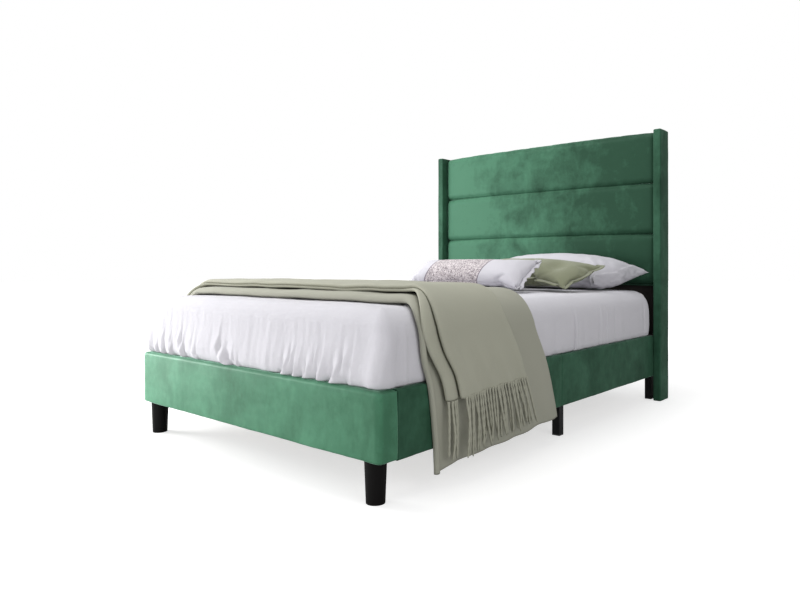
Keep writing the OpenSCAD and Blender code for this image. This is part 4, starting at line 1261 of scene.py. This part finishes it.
def add_border(points, rim, width, wave, pitch, ends_only=False):
    """Points and faces of a flat or ruffled strip round a cushion's rim, or at its two ends only."""
    ring = points[rim]
    middle = points.mean(0)
    count = len(rim)
    ahead, behind = np.roll(ring, -1, axis=0), np.roll(ring, 1, axis=0)
    run = ahead - behind
    run /= np.linalg.norm(run, axis=1)[:, None] + 1e-9
    out = np.cross(run, (0, 0, 1.0))
    out /= np.linalg.norm(out, axis=1)[:, None] + 1e-9
    out[np.sum(out * (ring - middle), axis=1) < 0] *= -1
    along = np.concatenate([[0], np.cumsum(np.linalg.norm(np.diff(ring, axis=0), axis=1))])
    ends = np.ones(count)
    if ends_only:
        reach = np.abs(ring[:, 0] - middle[0]) / np.abs(ring[:, 0] - middle[0]).max()
        ends = eased(reach, 0.93, 0.965)
    lift = np.array([0.0, 0.0, 1.0])
    layers = []
    for step in (0.35, 0.7, 1.0):
        waves = np.sin(along * 2 * math.pi / pitch) + 0.5 * np.sin(along * 2 * math.pi / (pitch * 2.3) + 1)
        ripple_here = wave * step * waves
        side = 0.35 * wave * step * np.cos(along * 2 * math.pi / (pitch * 1.4))
        layers.append(ring + out * (width * step * ends + side * ends)[:, None] + lift * (ripple_here * ends)[:, None])
    thick = 0.0011
    border_points, border_faces = [], []
    for side in (1, -1):
        for layer in [ring, *layers]:
            border_points.append(layer + lift * side * thick)
    stack = np.concatenate(border_points)
    rows = len(layers) + 1
    for side in (0, 1):
        quads = grid_faces(rows, count, side * rows * count, close_columns=True)
        border_faces += quads if side else [q[::-1] for q in quads]
    for j in range(count):
        k = (j + 1) % count
        a, b = (rows - 1) * count, (2 * rows - 1) * count
        border_faces.append([a + j, a + k, b + k, b + j])
        border_faces.append([k, j, rows * count + j, rows * count + k])
    return stack, border_faces


class BED_OT_cushions(bpy.types.Operator):
    """Stuffs the three cushions by simulation, shapes them and leans them on each other"""

    bl_idname = "bed.cushions"
    bl_label = "Cushions"

    def execute(self, context):
        look = context.scene.bed_cushions
        self.white(look)
        self.sage(look)
        self.front(look)
        return {"FINISHED"}

    @staticmethod
    def finish_cushion(name, points, faces, material, body, slot, node):
        """Makes the cushion's mesh, a little finer and smoother than the simulated one."""
        piece = add_mesh(name, points, faces, material)
        smooth = piece.modifiers.new("finer", "SUBSURF")
        smooth.levels = smooth.render_levels = 1
        settle(piece)
        fit_in(piece, body, slot, node)
        return piece

    def white(self, look):
        """The big white cushion at the back: its right ear stands up, and its front corner tucks in."""
        low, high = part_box("pillow_white")
        middle = (low + high) / 2
        width, depth = high.x - low.x, high.y - low.y
        points, faces, _ = stuffed("white", width, depth * 1.08, look)
        points = sized(points, width, depth * 1.03, 0.185)
        u, v = points[:, 0] / (width / 2), points[:, 1] / (depth / 2)
        front = eased(-v, 0.0, 1.0)
        points[:, 0] *= 1 - 0.27 * front * np.abs(u) ** 1.5
        points[:, 0] -= 0.035 * np.clip(u, 0, 1) ** 5 * (1 - v**2)
        points[:, 2] -= 0.050 * np.abs(u) ** 3 * (1 - 0.35 * front) + 0.014 * eased(v, 0.4, 1.0)
        points[:, 2] += 0.012 * eased(u, 0.65, 1.0) * (points[:, 2] < 0)
        near = np.exp(-(((u - 0.72) / 0.22) ** 2 + ((v + 0.55) / 0.45) ** 2))
        points[:, 2] += 0.0012 * ripple(points * (1.0, 0.4, 1.0), 0.05, 101)
        points[:, 2] += 0.0045 * near * np.sin((points[:, 0] * 0.8 + points[:, 1] * 0.6) * 2 * math.pi / 0.055)
        points = laid(points, (middle.x, middle.y, middle.z - 0.001), WHITE_TILT)
        piece = self.finish_cushion("cushion_white", above_bed(points), faces, finish("white_cotton"),
                                    "pillow_white", "pillow_linen", "pillow_white")

    def sage(self, look):
        """The sage cushion, with a flat flange round it and a dent in its face."""
        low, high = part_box("pillow_sage")
        middle = (low + high) / 2
        width, depth = high.x - low.x - 2 * look.flange, 0.300
        points, faces, rim = stuffed("sage", width, depth * 1.1, look)
        points = sized(points, width, depth, 0.135)
        u, v = points[:, 0] / (width / 2), points[:, 1] / (depth / 2)
        dent = np.exp(-(((u - 0.62) / 0.10) ** 2 + ((v + 0.15) / 0.30) ** 2)) * (points[:, 2] > 0)
        points[:, 2] -= 0.014 * dent
        points[:, 2] -= 0.026 * np.abs(u) ** 3
        points[:, 0] *= 1 - 0.16 * eased(-v, -0.2, 1.0) * np.abs(u) ** 1.5
        edge, edge_faces = add_border(points, rim, look.flange, 0.0012, 0.090)
        placed = laid(points, (middle.x, middle.y, middle.z - 0.004), SAGE_TILT)
        placed_edge = above_bed(laid(edge, (middle.x, middle.y, middle.z - 0.004), SAGE_TILT))
        piece = self.finish_cushion("cushion_sage", above_bed(placed), faces, finish("sage_cotton"),
                                    "pillow_sage", "sage_linen", "pillow_sage")
        flange = add_mesh("cushion_sage_flange", placed_edge, edge_faces, finish("sage_cotton"))
        fit_in(flange, "pillow_sage", "sage_linen")

    def front(self, look):
        """The front cushion, with a speckled panel and a ruffle at each end."""
        low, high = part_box("pillow_patterned")
        middle = (low + high) / 2
        width, depth = high.x - low.x - 1.6 * look.ruffle, 0.225
        points, faces, rim = stuffed("front", width, depth * 1.1, look)
        points = sized(points, width, depth, 0.118)
        u = points[:, 0] / (width / 2)
        points[:, 2] -= 0.012 * np.abs(u) ** 3 + 0.030 * eased(-u, 0.55, 1.0)
        points[:, 0] += 0.055 * eased(-u, 0.3, 1.0)
        points[:, 2] += 0.0015 * ripple(points * (1.0, 0.3, 1.0), 0.06, 111) * np.abs(u)
        edge, edge_faces = add_border(points, rim, look.ruffle, 0.0060, 0.042, ends_only=True)
        placed = laid(points, tuple(middle), FRONT_TILT)
        placed_edge = above_bed(laid(edge, tuple(middle), FRONT_TILT))
        piece = self.finish_cushion("cushion_front", above_bed(placed), faces, finish("speckled"),
                                    "pillow_patterned", "patterned_cotton", "pillow_patterned")
        ruffle = add_mesh("cushion_front_ruffle", placed_edge, edge_faces, finish("white_cotton"))
        fit_in(ruffle, "pillow_patterned", "patterned_cotton")


# ---------------------------------------------------------------- the frame's own pieces


class BED_OT_staples(bpy.types.Operator):
    """Staples the dust cover round the back of the headboard"""

    bl_idname = "bed.staples"
    bl_label = "Dust Cover Staples"

    def execute(self, context):
        low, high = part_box("back_dust_cover")
        inset, pitch, half, wire = 0.014, 0.075, 0.005, 0.0005
        xs = np.arange(low.x + inset, high.x - inset, pitch)
        zs = np.arange(low.z + inset + pitch, high.z - inset, pitch)
        spots = [(x, z, 0) for x in xs for z in (low.z + inset, high.z - inset)]
        spots += [(x, z, 1) for z in zs for x in (low.x + inset, high.x - inset)]
        points, faces = [], []
        for x, z, upright in spots:
            size = (wire, 0.0005, half) if upright else (half, 0.0005, wire)
            centre = np.array((x, high.y + 0.0002, z))
            block, _, quads = rounded_block(centre - size, centre + size, ((0.0002, 0.0002),) * 3, 0.01)
            faces += [[len(points) + k for k in quad] for quad in quads]
            points += [tuple(p) for p in block]
        staples = add_mesh("dust_cover_staples", points, faces, finish("staple_wire"))
        fit_in(staples, "frame", "zinc_steel")
        return {"FINISHED"}


SLOT_FINISH = {
    "velvet": "velvet", "plywood": "plywood", "softwood": "softwood", "dark_board": "dark_cloth",
    "dust_cloth": "dust_cloth", "black_wood": "black_lacquer", "black_steel": "powder_coat",
    "zinc_steel": "zinc_plate", "black_plastic": "black_plastic", "slat_wood": "slat_wood",
    "strap_webbing": "strap_webbing", "mattress_ticking": "mattress_ticking", "white_linen": "sheet_linen",
    "blanket_wool": "blanket_wool", "throw_wool": "throw_wool", "pillow_linen": "white_cotton",
    "sage_linen": "sage_cotton", "patterned_cotton": "speckled",
}


class BED_OT_finish_frame(bpy.types.Operator):
    """Gives each piece of the frame its finish"""

    bl_idname = "bed.finish_frame"
    bl_label = "Finish the Frame"

    def execute(self, context):
        for part in frame["record"]["subparts"]:
            piece = frame["nodes"][part["node"]]
            # The board that shows between the pads takes the velvet copy painted darker, as shade.
            wrapped = part["node"] == "headboard_board"
            piece.data.materials.clear()
            piece.data.materials.append(finish("dark_velvet" if wrapped else SLOT_FINISH[part["material_slot"]]))
        return {"FINISHED"}


# ---------------------------------------------------------------- studio


def area_light(name, place, target, size, power):
    """A soft rectangular light that faces a point."""
    light = bpy.data.lights.new(name, "AREA")
    light.shape = "RECTANGLE"
    light.size, light.size_y = size
    light.energy = power
    lamp = bpy.data.objects.new(name, light)
    lamp.location = place
    lamp.rotation_euler = (Vector(target) - Vector(place)).to_track_quat("-Z", "Y").to_euler()
    bpy.context.scene.collection.objects.link(lamp)


# Each light's name, place, the point that it faces, its two sides and the setting with its power.
LIGHTS = (
    ("window", (-1.6, 0.0, 1.5), (0.0, 0.98, 1.0), (0.8, 1.0), "key_power"),
    ("overhead", (-0.5, -0.2, 3.1), (-0.1, 0.0, 0.0), (2.4, 2.6), "top_power"),
    ("front_left", (-2.2, -1.75, 0.75), (0.2, -1.0, 0.25), (0.9, 0.9), "fill_power"),
    ("front_low", (0.2, -3.4, 0.5), (0.0, -1.05, 0.3), (1.2, 0.6), "low_power"),
    ("side", (3.6, -1.2, 1.7), (0.6, 0.0, 0.4), (2.4, 2.0), "side_power"),
)
# The camera's sensor and lens in millimetres, its shift, its place along X and from the foot, and its turn.
SENSOR_WIDTH = 36.0
LENS = 29.1645
CAMERA_SHIFT = (-0.05, -0.0415)
CAMERA_X = 2.0202
CAMERA_FROM_FOOT = 1.3028
CAMERA_TURN = 0.69555
FLOOR_HALF = 30.0


class BED_OT_studio(bpy.types.Operator):
    """Sets up a floor with a painted glow that makes it look pale, soft lights and the camera"""

    bl_idname = "bed.studio"
    bl_label = "Studio"

    def execute(self, context):
        stage, scene = context.scene.bed_stage, context.scene
        if stage.show_floor:
            corners = [(x * FLOOR_HALF, y * FLOOR_HALF, 0) for x, y in ((-1, -1), (1, -1), (1, 1), (-1, 1))]
            floor = add_mesh("studio_floor", corners, [[0, 1, 2, 3]], self.floor_finish(stage.floor_colour))
        world = scene.world or bpy.data.worlds.new("studio")
        scene.world = world
        world.use_nodes = True
        tree = world.node_tree
        seen = tree.nodes.new("ShaderNodeLightPath").outputs["Is Camera Ray"]
        strength = plus(tree, times(tree, seen, 1.0 - stage.ambient), stage.ambient)
        background = tree.nodes["Background"]
        background.inputs["Color"].default_value = (1, 1, 1, 1)
        tree.links.new(strength, background.inputs["Strength"])
        for name, place, target, size, power in LIGHTS:
            area_light(name, place, target, size, getattr(stage, power))
        scene.view_settings.view_transform = "Standard"
        camera = bpy.data.cameras.new("camera")
        camera.sensor_width, camera.lens = SENSOR_WIDTH, LENS
        camera.shift_x, camera.shift_y = CAMERA_SHIFT
        holder = bpy.data.objects.new("camera", camera)
        holder.location = (CAMERA_X, FOOT - CAMERA_FROM_FOOT, stage.camera_height)
        holder.rotation_euler = (math.pi / 2, 0, CAMERA_TURN)
        scene.collection.objects.link(holder)
        scene.camera = holder
        return {"FINISHED"}

    @staticmethod
    def floor_finish(colour):
        """A matt floor with the faintest texture and a painted glow, seen by the camera alone, that grows away from
        the bed so that the floor looks pale and fades into the white background.
        """
        material, tree, shader = new_finish("studio_paint")
        here = tree.nodes.new("ShaderNodeTexCoord").outputs["Object"]
        shade = plus(tree, times(tree, noise(tree, here, 3.0), 0.01), 0.995)
        length = add_node(tree, "ShaderNodeVectorMath", {0: here}, operation="LENGTH").outputs["Value"]
        # Painted glow: the floor shines white to the camera, more so further from the bed, though it lights nothing.
        painted_glow_ramp = {"Value": length, "From Min": 0.6, "From Max": 3.2, "To Min": 0.60, "To Max": 1.0}
        far = add_node(tree, "ShaderNodeMapRange", painted_glow_ramp, interpolation_type="SMOOTHSTEP").outputs["Result"]
        seen = tree.nodes.new("ShaderNodeLightPath").outputs["Is Camera Ray"]
        feed(tree, shader, {
            "Base Color": mix_colours(tree, 1.0, opaque(colour), add_grey(tree, shade), "MULTIPLY"),
            "Roughness": 0.9, "Emission Color": (1, 1, 1, 1), "Emission Strength": times(tree, far, seen),
        })
        return material


# ---------------------------------------------------------------- add-on


SETTINGS = {"bed_upholstery": BedUpholstery, "bed_linen": BedLinen, "bed_cushions": BedCushions,
            "bed_stage": BedStage}
OPERATORS = (
    BED_OT_finish_frame, BED_OT_channel_pads, BED_OT_wing_covers, BED_OT_frame_covers, BED_OT_mattress,
    BED_OT_sheet, BED_OT_blanket, BED_OT_throw, BED_OT_cushions, BED_OT_staples, BED_OT_studio,
)


class BED_PT_panel(bpy.types.Panel):
    """Lists the bed's pieces and their sizes"""

    bl_idname = "BED_PT_panel"
    bl_label = "Headboard Bed"
    bl_space_type = "VIEW_3D"
    bl_region_type = "UI"
    bl_category = "Bed"

    def draw(self, context):
        for group in SETTINGS:
            box = self.layout.box()
            settings = getattr(context.scene, group)
            for name in settings.__annotations__:
                box.prop(settings, name)
        for operator in OPERATORS:
            self.layout.operator(operator.bl_idname)


def register():
    """Registers the classes and the scene's settings."""
    for cls in (*SETTINGS.values(), *OPERATORS, BED_PT_panel):
        bpy.utils.register_class(cls)
    for name, cls in SETTINGS.items():
        setattr(bpy.types.Scene, name, PointerProperty(type=cls))


def unregister():
    """Takes the settings and the classes away again."""
    for name in SETTINGS:
        delattr(bpy.types.Scene, name)
    for cls in reversed((*SETTINGS.values(), *OPERATORS, BED_PT_panel)):
        bpy.utils.unregister_class(cls)


def main():
    """Builds everything in order."""
    register()
    for operator in OPERATORS:
        module, name = operator.bl_idname.split(".")
        getattr(getattr(bpy.ops, module), name)()


if __name__ == "__main__":
    main()
